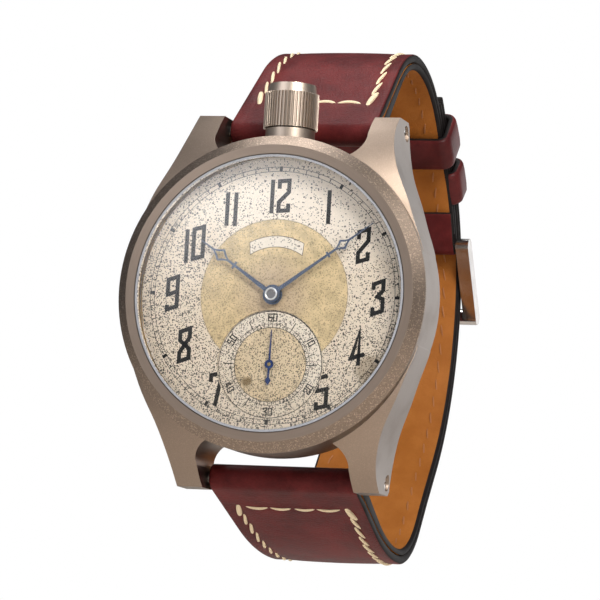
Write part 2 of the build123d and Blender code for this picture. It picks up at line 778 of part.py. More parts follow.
def strap_upper_leather():
    body = strap_shell(band(UPPER, 0, BUCKLE_S, lambda s: 0, lambda s: LEATHER_T))
    y, z = buckle_bar_centre()
    roll = rod_x(BUCKLE_ROLL_R, -9.5, 9.5, y, z)
    body = wrap_bar(body, 1) + roll
    body -= rod_x(BUCKLE_BAR_R + 0.05, -13, 13, y, z)
    return body - block(-1.4, 1.4, y - 3, y + 4, z - 3, z + 2.2)


def strap_upper_lining():
    face = band(UPPER, 2.4, BUCKLE_S - 2.2, lambda s: LEATHER_T + STRAP_GAP, thickness)
    return strap_shell(face)


def tail_holes(layer):
    """Cut the row of buckle holes; the one in use is worn longer."""
    for index in range(-3, 4):
        y, z, turn = at_length(LOWER, TONGUE_S + index * 6.5)
        place = Pos(0, y, -z) * Rot(-math.degrees(turn), 0, 0)
        hole = SlotOverall(5.6, 1.9, rotation=90) if index == 0 else Circle(0.9)
        layer -= place * extrude(hole, 5, both=True)
    return layer


def strap_lower_leather():
    body = strap_shell(band(LOWER, 0, LOWER_END_S, lambda s: 0, lambda s: LEATHER_T, flip=-1))
    return tail_holes(wrap_bar(body, -1))


def strap_lower_lining():
    face = band(LOWER, 2.4, LOWER_END_S - 0.02, lambda s: LEATHER_T + STRAP_GAP, thickness, flip=-1)
    return tail_holes(strap_shell(face))


def keeper(s, inner_half, stack_in, stack_out):
    """Leather loop round both strap layers at a length along the upper half."""
    y, z, turn = at_length(UPPER, s)
    out = stack_out + KEEPER_T
    deep = stack_in + KEEPER_T
    outer = Box(2 * inner_half + 2 * KEEPER_T, KEEPER_W, out + deep)
    outer = fillet(outer.edges().filter_by(Axis.Y), 1.0)
    loop = Pos(0, 0, (out - deep) / 2) * outer
    loop -= Pos(0, 0, (stack_out - stack_in) / 2) * Box(2 * inner_half, KEEPER_W + 1, stack_out + stack_in)
    return Pos(0, y, z) * Rot(math.degrees(turn), 0, 0) * loop


def fixed_keeper():
    return keeper(FIXED_KEEPER_S, 9.85, THICK_END + 0.3, TAIL_OFFSET + 0.35)


def free_keeper():
    return keeper(FREE_KEEPER_S, 9.95, THICK_END + 0.25, TAIL_OFFSET + 0.3)


# --- buckle -------------------------------------------------------------------------
BUCKLE_Y, BUCKLE_Z = buckle_bar_centre()
FRAME_BAR = (64.15, 6.6)
FRAME_BAR_R = 1.25
TONGUE_KNEE = (63.9, 14.6)
TONGUE_TIP = (66.6, 5.4)


def link_yz(start, end, width):
    """Straight-sided bar with round ends in the (y, z) plane."""
    length = math.dist(start, end)
    middle = ((start[0] + end[0]) / 2, (start[1] + end[1]) / 2)
    turn = heading(start, end)
    return Pos(*middle) * Rot(0, 0, turn) * SlotOverall(length + width, width)


def buckle_bar():
    return rod_x(BUCKLE_BAR_R, -11.7, 11.7, BUCKLE_Y, BUCKLE_Z)


def buckle_frame():
    face = link_yz((BUCKLE_Y, BUCKLE_Z), FRAME_BAR, 2.4)
    arm = side_plate(face, 9.85, 11.9)
    arm -= rod_x(BUCKLE_BAR_R + 0.04, 9, 11.75, BUCKLE_Y, BUCKLE_Z)
    return mirrored(arm) + rod_x(FRAME_BAR_R, -11.9, 11.9, *FRAME_BAR)


def buckle_tongue():
    eye = rod_x(1.32, -1.1, 1.1, BUCKLE_Y, BUCKLE_Z)
    first = side_plate(link_yz((BUCKLE_Y, BUCKLE_Z), TONGUE_KNEE, 1.3), -0.7, 0.7)
    second = side_plate(link_yz(TONGUE_KNEE, TONGUE_TIP, 1.1), -0.7, 0.7)
    return eye + first + second - rod_x(BUCKLE_BAR_R + 0.04, -2, 2, BUCKLE_Y, BUCKLE_Z)


def main():
    os.makedirs("parts", exist_ok=True)
    builders = [
        case_middle, bezel, crystal, crystal_gasket, case_back_ring, case_back_crystal, back_gasket,
        movement_ring, crown_tube, strap_bar_screws, crown, crown_gasket, winding_stem, winding_pinion,
        crown_wheel, crown_wheel_screw, ratchet_wheel, barrel_arbor, mainspring_barrel, barrel_cover,
        mainspring, centre_wheel, cannon_pinion, third_wheel, fourth_wheel, escape_wheel, pallet_fork,
        balance_wheel, balance_staff, hairspring, main_plate, motion_post, barrel_bridge, train_bridge,
        pallet_bridge, balance_cock, regulator, jewels, jewel_settings, plate_screws, click, click_screw,
        minute_wheel, hour_wheel, dial, seconds_dial, hour_hand, minute_hand, seconds_hand,
        strap_upper_leather, strap_upper_lining, strap_lower_leather, strap_lower_lining,
        fixed_keeper, free_keeper, buckle_bar, buckle_frame, buckle_tongue,
    ]
    for build in builders:
        export_step(build(), f"parts/{build.__name__}.step")
    export_step(strap_bar(1), "parts/strap_bar_upper.step")
    export_step(strap_bar(-1), "parts/strap_bar_lower.step")


if __name__ == "__main__":
    main()
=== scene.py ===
"""Looks of a wrist-worn deck watch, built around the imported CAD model."""

import logging
import math
from dataclasses import dataclass, field
from enum import Enum
from typing import Callable, Iterable, Optional, Sequence

import bmesh
import bpy
from mathutils import Matrix, Vector


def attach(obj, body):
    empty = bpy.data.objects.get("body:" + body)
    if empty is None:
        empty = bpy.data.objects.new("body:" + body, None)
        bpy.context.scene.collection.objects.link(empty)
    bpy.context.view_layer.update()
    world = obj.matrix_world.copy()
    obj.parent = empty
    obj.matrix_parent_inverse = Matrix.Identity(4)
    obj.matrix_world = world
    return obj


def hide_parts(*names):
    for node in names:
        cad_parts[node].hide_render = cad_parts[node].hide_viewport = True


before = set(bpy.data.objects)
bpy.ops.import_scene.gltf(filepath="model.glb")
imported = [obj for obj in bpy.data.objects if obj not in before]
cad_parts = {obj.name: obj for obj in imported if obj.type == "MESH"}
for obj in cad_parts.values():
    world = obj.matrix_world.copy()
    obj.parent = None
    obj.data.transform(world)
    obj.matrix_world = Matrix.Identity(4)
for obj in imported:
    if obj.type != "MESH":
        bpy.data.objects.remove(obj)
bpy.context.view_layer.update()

LOG = logging.getLogger("watch")
MM = 0.001
THICK_END = 2.35
THICK_EXTRA = 1.5
TAPER_LENGTH = 30
Point = tuple[float, float]
Colour = tuple[float, float, float]


# --- node helpers -------------------------------------------------------------
class Graph:
    """Adds and wires nodes in one shader or geometry tree."""

    def __init__(self, tree: bpy.types.NodeTree) -> None:
        """Keep the tree and start a tidy column of nodes.

        Args:
            tree: The tree to build in.
        """
        self.tree = tree
        self.column = 0

    def add(self, kind: str, settings: Optional[dict] = None, **inputs: object) -> bpy.types.Node:
        """Add a node.

        Args:
            kind: The node's type name.
            settings: Properties set on the node itself.
            inputs: Input values or sockets, by input name with _ for a space,
                or i0, i1 for an input's number.

        Returns:
            The new node.
        """
        node = self.tree.nodes.new(kind)
        node.location = (self.column * 180, 0)
        self.column += 1
        for name, value in (settings or {}).items():
            setattr(node, name, value)
        for name, value in inputs.items():
            key = int(name[1:]) if name[0] == "i" and name[1:].isdigit() else name.replace("_", " ")
            socket = node.inputs[key]
            if isinstance(value, bpy.types.NodeSocket):
                self.tree.links.new(value, socket)
            else:
                socket.default_value = value
        return node

    def math(
            self, operation: str, first: object, second: object = 0.0, third: object = 0.0
    ) -> bpy.types.NodeSocket:
        """Add a Math node and return its value.

        Args:
            operation: The operation's name.
            first: First value or socket.
            second: Second value or socket.
            third: Third value or socket.

        Returns:
            The result socket.
        """
        node = self.add("ShaderNodeMath", {"operation": operation}, i0=first, i1=second, i2=third)
        return node.outputs[0]

    def times(self, first: object, second: object) -> bpy.types.NodeSocket:
        """Return the product of two values.

        Args:
            first: First value or socket.
            second: Second value or socket.

        Returns:
            The product's socket.
        """
        return self.math("MULTIPLY", first, second)

    def plus(self, first: object, second: object) -> bpy.types.NodeSocket:
        """Return the sum of two values.

        Args:
            first: First value or socket.
            second: Second value or socket.

        Returns:
            The sum's socket.
        """
        return self.math("ADD", first, second)

    def minus(self, first: object, second: object) -> bpy.types.NodeSocket:
        """Return the difference of two values.

        Args:
            first: First value or socket.
            second: Second value or socket.

        Returns:
            The difference's socket.
        """
        return self.math("SUBTRACT", first, second)

    def vector(self, operation: str, first: object, second: object = (0.0, 0.0, 0.0)) -> bpy.types.NodeSocket:
        """Add a Vector Math node and return its vector.

        Args:
            operation: The operation's name.
            first: First vector or socket.
            second: Second vector or socket.

        Returns:
            The result socket.
        """
        node = self.add("ShaderNodeVectorMath", {"operation": operation}, i0=first, i1=second)
        return node.outputs[0]

    def noise(
            self, vector: object, scale: float, detail: float = 4.0, rough: float = 0.6
    ) -> bpy.types.NodeSocket:
        """Add a noise texture and return its value.

        Args:
            vector: The coordinates.
            scale: Scale in cells per metre.
            detail: Octaves.
            rough: Octave roughness.

        Returns:
            The noise value.
        """
        node = self.add("ShaderNodeTexNoise", Vector=vector, Scale=scale, Detail=detail, Roughness=rough)
        return node.outputs["Fac"]

    def ramp(self, value: object, low: float, high: float) -> bpy.types.NodeSocket:
        """Map a range to 0..1 smoothly.

        Args:
            value: The value to map.
            low: Value that gives 0.
            high: Value that gives 1.

        Returns:
            The mapped value.
        """
        node = self.add("ShaderNodeMapRange", {"interpolation_type": "SMOOTHSTEP"}, Value=value)
        node.inputs["From Min"].default_value = low
        node.inputs["From Max"].default_value = high
        return node.outputs[0]

    def mix(self, factor: object, first: object, second: object, blend: str = "MIX") -> bpy.types.NodeSocket:
        """Blend two colours.

        Args:
            factor: Blend factor.
            first: First colour or socket.
            second: Second colour or socket.
            blend: Blend mode.

        Returns:
            The blended colour.
        """
        node = self.add("ShaderNodeMix", {"data_type": "RGBA", "blend_type": blend})
        for key, value in ((0, factor), (6, first), (7, second)):
            if isinstance(value, bpy.types.NodeSocket):
                self.tree.links.new(value, node.inputs[key])
            else:
                node.inputs[key].default_value = rgba(value) if isinstance(value, tuple) else value
        return node.outputs[2]

    def bump(self, height: object, strength: float, distance: float) -> bpy.types.NodeSocket:
        """Turn a height into a normal.

        Args:
            height: The height value.
            strength: Bump strength.
            distance: Bump distance in metres.

        Returns:
            The normal socket.
        """
        node = self.add("ShaderNodeBump", Height=height, Strength=strength, Distance=distance)
        return node.outputs["Normal"]

    def place(self) -> bpy.types.NodeSocket:
        """Return the Object coordinates."""
        return self.add("ShaderNodeTexCoord").outputs["Object"]

    def group(self, tree: bpy.types.NodeTree, **inputs: object) -> bpy.types.Node:
        """Place a node group.

        Args:
            tree: The group.
            inputs: Its input values, by name with _ for a space.

        Returns:
            The group node.
        """
        kind = "ShaderNodeGroup" if tree.bl_idname == "ShaderNodeTree" else "GeometryNodeGroup"
        return self.add(kind, {"node_tree": tree}, **inputs)


def rgba(colour: Sequence[float]) -> tuple[float, float, float, float]:
    """Return a colour with an alpha of 1 unless it has one."""
    return tuple(colour) if len(colour) == 4 else (*colour, 1.0)


def new_group(name: str, kind: str, inputs: dict[str, tuple[str, object]], outputs: dict[str, str]) -> Graph:
    """Start a node group with named sockets.

    Args:
        name: The group's name.
        kind: "ShaderNodeTree" or "GeometryNodeTree".
        inputs: Socket type and default, by input name.
        outputs: Socket type by output name.

    Returns:
        A graph over the new group's tree.
    """
    tree = bpy.data.node_groups.new(name, kind)
    for label, (socket_type, default) in inputs.items():
        socket = tree.interface.new_socket(name=label, in_out="INPUT", socket_type=socket_type)
        if default is not None:
            socket.default_value = default
    for label, socket_type in outputs.items():
        tree.interface.new_socket(name=label, in_out="OUTPUT", socket_type=socket_type)
    return Graph(tree)


FLOAT = "NodeSocketFloat"
VECTOR = "NodeSocketVector"
GEOMETRY = "NodeSocketGeometry"


# --- shared surface effects -----------------------------------------------------
class Effects:
    """The shader node groups that several finishes share."""

    def __init__(self) -> None:
        """Build every group once."""
        self.blast = self._blast()
        self.turning = self._turning()
        self.brushing = self._brushing()
        self.grain = self._grain()
        self.pitting = self._pitting()
        self.handling = self._handling()

    def _blast(self) -> bpy.types.NodeTree:
        """Fine bead-blasted pits with bright facets."""
        graph = new_group(
            "Blasted Surface", "ShaderNodeTree", {"Scale": (FLOAT, 9000.0)},
            {"Height": FLOAT, "Sparkle": FLOAT}
        )
        inlet = graph.add("NodeGroupInput")
        place = graph.place()
        fine = graph.add(
            "ShaderNodeTexNoise", Vector=place, Scale=inlet.outputs[0], Detail=3.0, Roughness=0.7
        ).outputs["Fac"]
        cells = graph.add("ShaderNodeTexVoronoi", Vector=place, Scale=inlet.outputs[0]).outputs["Color"]
        glint = graph.ramp(graph.add("ShaderNodeSeparateColor", Color=cells).outputs[0], 0.72, 1.0)
        outlet = graph.add("NodeGroupOutput")
        graph.tree.links.new(fine, outlet.inputs["Height"])
        graph.tree.links.new(glint, outlet.inputs["Sparkle"])
        return graph.tree

    def _turning(self) -> bpy.types.NodeTree:
        """Fine circular lines about an axis along Y."""
        inputs = {"Centre": (VECTOR, (0.0, 0.0, 0.0)), "Scale": (FLOAT, 6000.0)}
        graph = new_group("Turned Lines", "ShaderNodeTree", inputs, {"Lines": FLOAT, "Radius": FLOAT})
        inlet = graph.add("NodeGroupInput")
        local = graph.vector("SUBTRACT", graph.place(), inlet.outputs["Centre"])
        parts = graph.add("ShaderNodeSeparateXYZ", Vector=local).outputs
        square = graph.plus(graph.times(parts[0], parts[0]), graph.times(parts[2], parts[2]))
        radius = graph.math("SQRT", square)
        angle = graph.times(graph.math("ARCTAN2", parts[2], parts[0]), 0.0004)
        where = graph.add("ShaderNodeCombineXYZ", X=radius, Y=angle, Z=graph.times(parts[1], 0.3)).outputs[0]
        lines = graph.add(
            "ShaderNodeTexNoise", Vector=where, Scale=inlet.outputs["Scale"], Detail=3.0, Roughness=0.75
        )
        outlet = graph.add("NodeGroupOutput")
        graph.tree.links.new(lines.outputs["Fac"], outlet.inputs["Lines"])
        graph.tree.links.new(radius, outlet.inputs["Radius"])
        return graph.tree

    def _brushing(self) -> bpy.types.NodeTree:
        """Straight satin lines along one stretched direction."""
        graph = new_group(
            "Satin Lines", "ShaderNodeTree",
            {"Stretch": (VECTOR, (1.0, 1.0, 0.02)), "Scale": (FLOAT, 5000.0)}, {"Lines": FLOAT}
        )
        inlet = graph.add("NodeGroupInput")
        where = graph.vector("MULTIPLY", graph.place(), inlet.outputs["Stretch"])
        lines = graph.add(
            "ShaderNodeTexNoise", Vector=where, Scale=inlet.outputs["Scale"], Detail=3.0, Roughness=0.7
        )
        outlet = graph.add("NodeGroupOutput")
        graph.tree.links.new(lines.outputs["Fac"], outlet.inputs["Lines"])
        return graph.tree

    def _grain(self) -> bpy.types.NodeTree:
        """Leather pores and soft creases."""
        graph = new_group(
            "Leather Grain", "ShaderNodeTree", {"Scale": (FLOAT, 900.0)}, {"Height": FLOAT, "Mottle": FLOAT}
        )
        inlet = graph.add("NodeGroupInput")
        place = graph.place()
        warp = graph.add("ShaderNodeTexNoise", Vector=place, Scale=700.0, Detail=2.0).outputs["Color"]
        bent = graph.vector(
            "ADD", place,
            graph.add("ShaderNodeVectorMath", {"operation": "SCALE"}, i0=warp, Scale=0.0006).outputs[0]
        )
        cells = graph.add(
            "ShaderNodeTexVoronoi", {"feature": "DISTANCE_TO_EDGE"}, Vector=bent, Scale=inlet.outputs[0]
        ).outputs["Distance"]
        pores = graph.ramp(cells, 0.0, 0.12)
        fine = graph.noise(place, 5200.0, 3.0, 0.7)
        height = graph.plus(graph.times(pores, 0.6), graph.times(fine, 0.4))
        mottle = graph.noise(place, 130.0, 5.0, 0.62)
        outlet = graph.add("NodeGroupOutput")
        graph.tree.links.new(height, outlet.inputs["Height"])
        graph.tree.links.new(mottle, outlet.inputs["Mottle"])
        return graph.tree

    def _pitting(self) -> bpy.types.NodeTree:
        """Dark pepper spots and brown stains of an old silvered dial."""
        inputs = {"Density": (FLOAT, 0.5), "Fall": (FLOAT, 1.0)}
        graph = new_group("Dial Age", "ShaderNodeTree", inputs, {"Spots": FLOAT, "Stain": FLOAT})
        inlet = graph.add("NodeGroupInput")
        place = graph.place()
        parts = graph.add("ShaderNodeSeparateXYZ", Vector=place).outputs
        lower = graph.add("ShaderNodeMapRange", Value=parts[2])
        lower.inputs["From Min"].default_value = 0.014
        lower.inputs["From Max"].default_value = -0.019
        sideways = graph.times(graph.math("MINIMUM", parts[0], 0.0), -16.0)
        low = graph.times(graph.plus(lower.outputs[0], sideways), inlet.outputs["Fall"])
        broad = graph.noise(place, 330.0, 3.0, 0.6)
        share = graph.math("MULTIPLY_ADD", low, 0.42, graph.times(inlet.outputs["Density"], 0.66))
        share = graph.plus(share, graph.times(graph.minus(broad, 0.5), 0.9))
        spots = graph.math(
            "MAXIMUM", self._dots(graph, place, 4900.0, graph.times(share, 1.25)),
            self._dots(graph, place, 3000.0, graph.times(share, 0.45))
        )
        cloud = graph.noise(place, 95.0, 4.0, 0.65)
        stain = graph.ramp(graph.plus(cloud, graph.times(low, 0.42)), 0.62, 1.0)
        outlet = graph.add("NodeGroupOutput")
        graph.tree.links.new(spots, outlet.inputs["Spots"])
        graph.tree.links.new(stain, outlet.inputs["Stain"])
        return graph.tree

    @staticmethod
    def _dots(
            graph: Graph, place: bpy.types.NodeSocket, scale: float, share: bpy.types.NodeSocket
    ) -> bpy.types.NodeSocket:
        """Round specks of mixed size in a share of the cells of a lattice.

        Args:
            graph: The graph to build in.
            place: The coordinates.
            scale: Cells per metre.
            share: Share of cells that hold a speck.

        Returns:
            The speck mask.
        """
        cells = graph.add("ShaderNodeTexVoronoi", Vector=place, Scale=scale).outputs
        chance = graph.add("ShaderNodeSeparateColor", Color=cells["Color"]).outputs
        reach = graph.math("MULTIPLY_ADD", chance[1], 0.34, 0.26)
        near = graph.minus(1.0, graph.math("DIVIDE", cells["Distance"], reach))
        inside = graph.ramp(near, 0.0, 0.45)
        return graph.times(inside, graph.math("LESS_THAN", chance[0], share))

    def _handling(self) -> bpy.types.NodeTree:
        """Light smudges and hairline scratches from handling."""
        graph = new_group(
            "Handling Marks", "ShaderNodeTree", {"Amount": (FLOAT, 1.0)},
            {"Smudge": FLOAT, "Scratch": FLOAT}
        )
        inlet = graph.add("NodeGroupInput")
        place = graph.place()
        smudge = graph.times(graph.ramp(graph.noise(place, 180.0, 4.0, 0.6), 0.45, 0.75), inlet.outputs[0])
        slanted = graph.vector("MULTIPLY", place, (1.0, 0.3, 0.06))
        wave = graph.noise(slanted, 2600.0, 2.0, 0.5)
        scratch = graph.times(graph.ramp(wave, 0.68, 0.74), inlet.outputs[0])
        outlet = graph.add("NodeGroupOutput")
        graph.tree.links.new(smudge, outlet.inputs["Smudge"])
        graph.tree.links.new(scratch, outlet.inputs["Scratch"])
        return graph.tree


# --- finishes --------------------------------------------------------------------
def new_material(name: str) -> tuple[bpy.types.Material, Graph, bpy.types.Node]:
    """Start a material with an empty Principled BSDF.

    Args:
        name: The material's name.

    Returns:
        The material, a graph over its tree, and the BSDF node.
    """
    material = bpy.data.materials.new(name)
    material.use_nodes = True
    graph = Graph(material.node_tree)
    shader = next(node for node in material.node_tree.nodes if node.type == "BSDF_PRINCIPLED")
    return material, graph, shader


class MetalTexture(Enum):
    """How a metal surface is worked."""

    BLASTED = "blasted"
    TURNED = "turned"
    SATIN = "satin"
    POLISHED = "polished"
    STRIPED = "striped"


@dataclass(frozen=True)
class MetalFinish:
    """A worked metal surface."""

    name: str
    colour: Colour
    roughness: float
    texture: MetalTexture
    centre: tuple[float, float, float] = (0.0, 0.0, 0.0)
    stretch: tuple[float, float, float] = (1.0, 1.0, 0.02)
    relief: float = 0.3
    marks: float = 1.0

    def build(self, effects: Effects) -> bpy.types.Material:
        """Make the material.

        Args:
            effects: The shared node groups.

        Returns:
            The new material.
        """
        material, graph, shader = new_material(self.name)
        shader.inputs["Metallic"].default_value = 1.0
        pattern, bump_size = self._pattern(graph, effects)
        marks = graph.group(effects.handling, Amount=self.marks).outputs
        dark = tuple(channel * 0.74 for channel in self.colour)
        light = tuple(min(1.0, channel * 1.18) for channel in self.colour)
        tint = graph.mix(pattern, dark, light)
        tint = graph.mix(graph.times(marks["Smudge"], 0.18), tint, dark)
        graph.tree.links.new(tint, shader.inputs["Base Color"])
        rough = graph.math("MULTIPLY_ADD", pattern, 0.16 * self.roughness, self.roughness * 0.88)
        rough = graph.plus(rough, graph.times(marks["Smudge"], 0.07))
        graph.tree.links.new(rough, shader.inputs["Roughness"])
        height = graph.plus(pattern, graph.times(marks["Scratch"], -0.5))
        graph.tree.links.new(graph.bump(height, self.relief, bump_size), shader.inputs["Normal"])
        return material

    def _pattern(self, graph: Graph, effects: Effects) -> tuple[bpy.types.NodeSocket, float]:
        """Return the surface pattern's value and its depth in metres.

        Args:
            graph: The material's graph.
            effects: The shared node groups.

        Returns:
            The pattern socket and the bump distance.
        """
        if self.texture is MetalTexture.BLASTED:
            node = graph.group(effects.blast, Scale=7000.0)
            return graph.math(
                "MULTIPLY_ADD", node.outputs["Sparkle"], 0.3, graph.times(node.outputs["Height"], 0.8)
            ), 0.00006
        if self.texture is MetalTexture.TURNED:
            return graph.group(effects.turning, Centre=self.centre, Scale=7000.0).outputs["Lines"], 0.00003
        if self.texture is MetalTexture.SATIN:
            return graph.group(effects.brushing, Stretch=self.stretch, Scale=6000.0).outputs["Lines"], 0.00003
        if self.texture is MetalTexture.STRIPED:
            return self._stripes(graph), 0.00004
        return graph.noise(graph.place(), 600.0, 2.0), 0.00001

    def _stripes(self, graph: Graph) -> bpy.types.NodeSocket:
        """Wide decorative stripes, each filled with fine curved scratches."""
        place = graph.place()
        parts = graph.add("ShaderNodeSeparateXYZ", Vector=place).outputs
        along = graph.plus(graph.times(parts[0], 0.82), graph.times(parts[2], 0.57))
        saw = graph.math("FRACT", graph.times(along, 480.0))
        across = graph.minus(graph.times(parts[2], 0.82), graph.times(parts[0], 0.57))
        curve = graph.plus(across, graph.times(graph.times(saw, saw), 0.0012))
        fine = graph.add(
            "ShaderNodeTexNoise", {"noise_dimensions": "1D"}, W=curve, Scale=9000.0, Detail=2.0
        ).outputs["Fac"]
        band = graph.math("PINGPONG", saw, 0.5)
        return graph.plus(
            graph.times(saw, 0.55), graph.math("MULTIPLY_ADD", fine, 0.4, graph.times(band, 0.1))
        )


@dataclass(frozen=True)
class BezelFinish:
    """Brushed flat ring inside a blasted chamfer, told apart by radius, with painted shade along its inner
    edge.
    """

    name: str
    colour: Colour
    edge_radius: float

    def build(self, effects: Effects) -> bpy.types.Material:
        """Make the material.

        Args:
            effects: The shared node groups.

        Returns:
            The new material.
        """
        material, graph, shader = new_material(self.name)
        shader.inputs["Metallic"].default_value = 1.0
        lines = graph.group(effects.turning, Scale=9000.0).outputs
        blast = graph.group(effects.blast, Scale=6800.0).outputs
        outside = graph.ramp(lines["Radius"], (self.edge_radius - 0.02) * MM, (self.edge_radius + 0.02) * MM)
        coarse = graph.math("MULTIPLY_ADD", blast["Sparkle"], 0.5, graph.times(blast["Height"], 0.6))
        dark = tuple(channel * 0.42 for channel in self.colour)
        light = tuple(min(1.0, channel * 1.2) for channel in self.colour)
        flat = graph.mix(lines["Lines"], tuple(c * 0.9 for c in self.colour), light)
        rough_part = graph.mix(coarse, dark, tuple(min(1.0, c * 1.45) for c in self.colour))
        # Painted shade: inside a radius of 20.12 to 20.3 mm the bezel colour goes 85 % of the way to near
        # black, standing in for the shaded gap between bezel and crystal seal.
        painted_gap_shade = graph.minus(1.0, graph.ramp(lines["Radius"], 20.12 * MM, 20.3 * MM))
        tint = graph.mix(graph.times(painted_gap_shade, 0.85), graph.mix(outside, flat, rough_part), (0.03, 0.028, 0.026))
        graph.tree.links.new(tint, shader.inputs["Base Color"])
        rough = graph.math("MULTIPLY_ADD", outside, 0.06, 0.32)
        graph.tree.links.new(rough, shader.inputs["Roughness"])
        height = graph.plus(
            graph.times(lines["Lines"], graph.minus(0.5, graph.times(outside, 0.5))),
            graph.times(coarse, outside)
        )
        graph.tree.links.new(graph.bump(height, 0.5, 0.00008), shader.inputs["Normal"])
        return material


@dataclass(frozen=True)
class CaseFinish:
    """Blasted fronts beside satin flanks, told apart by which way they face."""

    name: str
    blasted: Colour
    satin: Colour
    crowning: float = 10.0

    def build(self, effects: Effects) -> bpy.types.Material:
        """Make the material.

        Args:
            effects: The shared node groups.

        Returns:
            The new material.
        """
        material, graph, shader = new_material(self.name)
        shader.inputs["Metallic"].default_value = 1.0
        facing = graph.add(
            "ShaderNodeSeparateXYZ", Vector=graph.add("ShaderNodeTexCoord").outputs["Normal"]
        ).outputs
        front = graph.ramp(graph.math("ABSOLUTE", facing[1]), 0.25, 0.42)
        blast = graph.group(effects.blast, Scale=9500.0).outputs
        lines = graph.group(effects.brushing, Stretch=(1.0, 1.0, 0.03), Scale=5000.0).outputs["Lines"]
        marks = graph.group(effects.handling, Amount=1.0).outputs
        pits = graph.math("MULTIPLY_ADD", blast["Sparkle"], 0.22, graph.times(blast["Height"], 0.8))
        rough_tint = graph.mix(
            pits, tuple(c * 0.7 for c in self.blasted), tuple(min(1.0, c * 1.3) for c in self.blasted)
        )
        satin_tint = graph.mix(
            lines, tuple(c * 0.9 for c in self.satin), tuple(min(1.0, c * 1.15) for c in self.satin)
        )
        graph.tree.links.new(graph.mix(front, satin_tint, rough_tint), shader.inputs["Base Color"])
        rough = graph.math("MULTIPLY_ADD", front, 0.12, 0.34)
        rough = graph.math("MULTIPLY_ADD", marks["Smudge"], 0.06, rough)
        graph.tree.links.new(rough, shader.inputs["Roughness"])
        height = graph.plus(graph.times(pits, front), graph.times(lines, 0.2))
        worked = graph.add(
            "ShaderNodeBump", Height=height, Strength=0.45, Distance=0.00006, Normal=self._crowned(graph)
        )
        graph.tree.links.new(worked.outputs["Normal"], shader.inputs["Normal"])
        return material

    def _crowned(self, graph: Graph) -> bpy.types.NodeSocket:
        """Return a normal that leans outwards, as on gently rounded lugs.

        Args:
            graph: The material's graph.

        Returns:
            The leaning normal.
        """
        across = graph.add("ShaderNodeSeparateXYZ", Vector=graph.place()).outputs[0]
        fall = graph.times(graph.times(across, across), -self.crowning)
        return graph.bump(fall, 1.0, 1.0)


@dataclass(frozen=True)
class KnurlFinish:
    """Turned metal with painted shade in its cut grooves, so they come out darker than its ridges."""

    name: str
    colour: Colour
    axis: Point
    depth: Point

    def build(self, effects: Effects) -> bpy.types.Material:
        """Make the material.

        Args:
            effects: The shared node groups.

        Returns:
            The new material.
        """
        material, graph, shader = new_material(self.name)
        shader.inputs["Metallic"].default_value = 1.0
        shader.inputs["Roughness"].default_value = 0.4
        parts = graph.add("ShaderNodeSeparateXYZ", Vector=graph.place()).outputs
        across = graph.minus(parts[0], self.axis[0] * MM)
        ahead = graph.minus(parts[1], self.axis[1] * MM)
        square = graph.plus(graph.times(across, across), graph.times(ahead, ahead))
        # Painted shade in the cut grooves: only the band between the groove radii drops to 0.55 of the
        # colour; the ridges and the core inside it keep the full colour.
        unshaded_ridge = graph.ramp(graph.math("SQRT", square), self.depth[0] * MM, self.depth[1] * MM)
        low = graph.math("LESS_THAN", graph.math("SQRT", square), (self.depth[0] - 0.06) * MM)
        smudge = graph.group(effects.handling, Amount=0.4).outputs["Smudge"]
        tint = graph.mix(graph.math("MAXIMUM", unshaded_ridge, low), tuple(c * 0.55 for c in self.colour), self.colour)
        tint = graph.mix(graph.times(smudge, 0.3), tint, tuple(c * 0.7 for c in self.colour))
        graph.tree.links.new(tint, shader.inputs["Base Color"])
        return material


@dataclass(frozen=True)
class BluedFinish:
    """Heat-blued steel whose blue shifts a little over its surface."""

    name: str
    colour: Colour = (0.06, 0.13, 0.42)
    hot: Colour = (0.14, 0.28, 0.62)

    def build(self, effects: Effects) -> bpy.types.Material:
        """Make the material.

        Args:
            effects: The shared node groups.

        Returns:
            The new material.
        """
        material, graph, shader = new_material(self.name)
        shader.inputs["Metallic"].default_value = 0.85
        shift = graph.noise(graph.place(), 420.0, 2.0)
        graph.tree.links.new(graph.mix(shift, self.colour, self.hot), shader.inputs["Base Color"])
        marks = graph.group(effects.handling, Amount=0.5).outputs
        graph.tree.links.new(
            graph.math("MULTIPLY_ADD", marks["Smudge"], 0.15, 0.22), shader.inputs["Roughness"]
        )
        graph.tree.links.new(graph.bump(marks["Scratch"], 0.15, 0.00001), shader.inputs["Normal"])
        return material


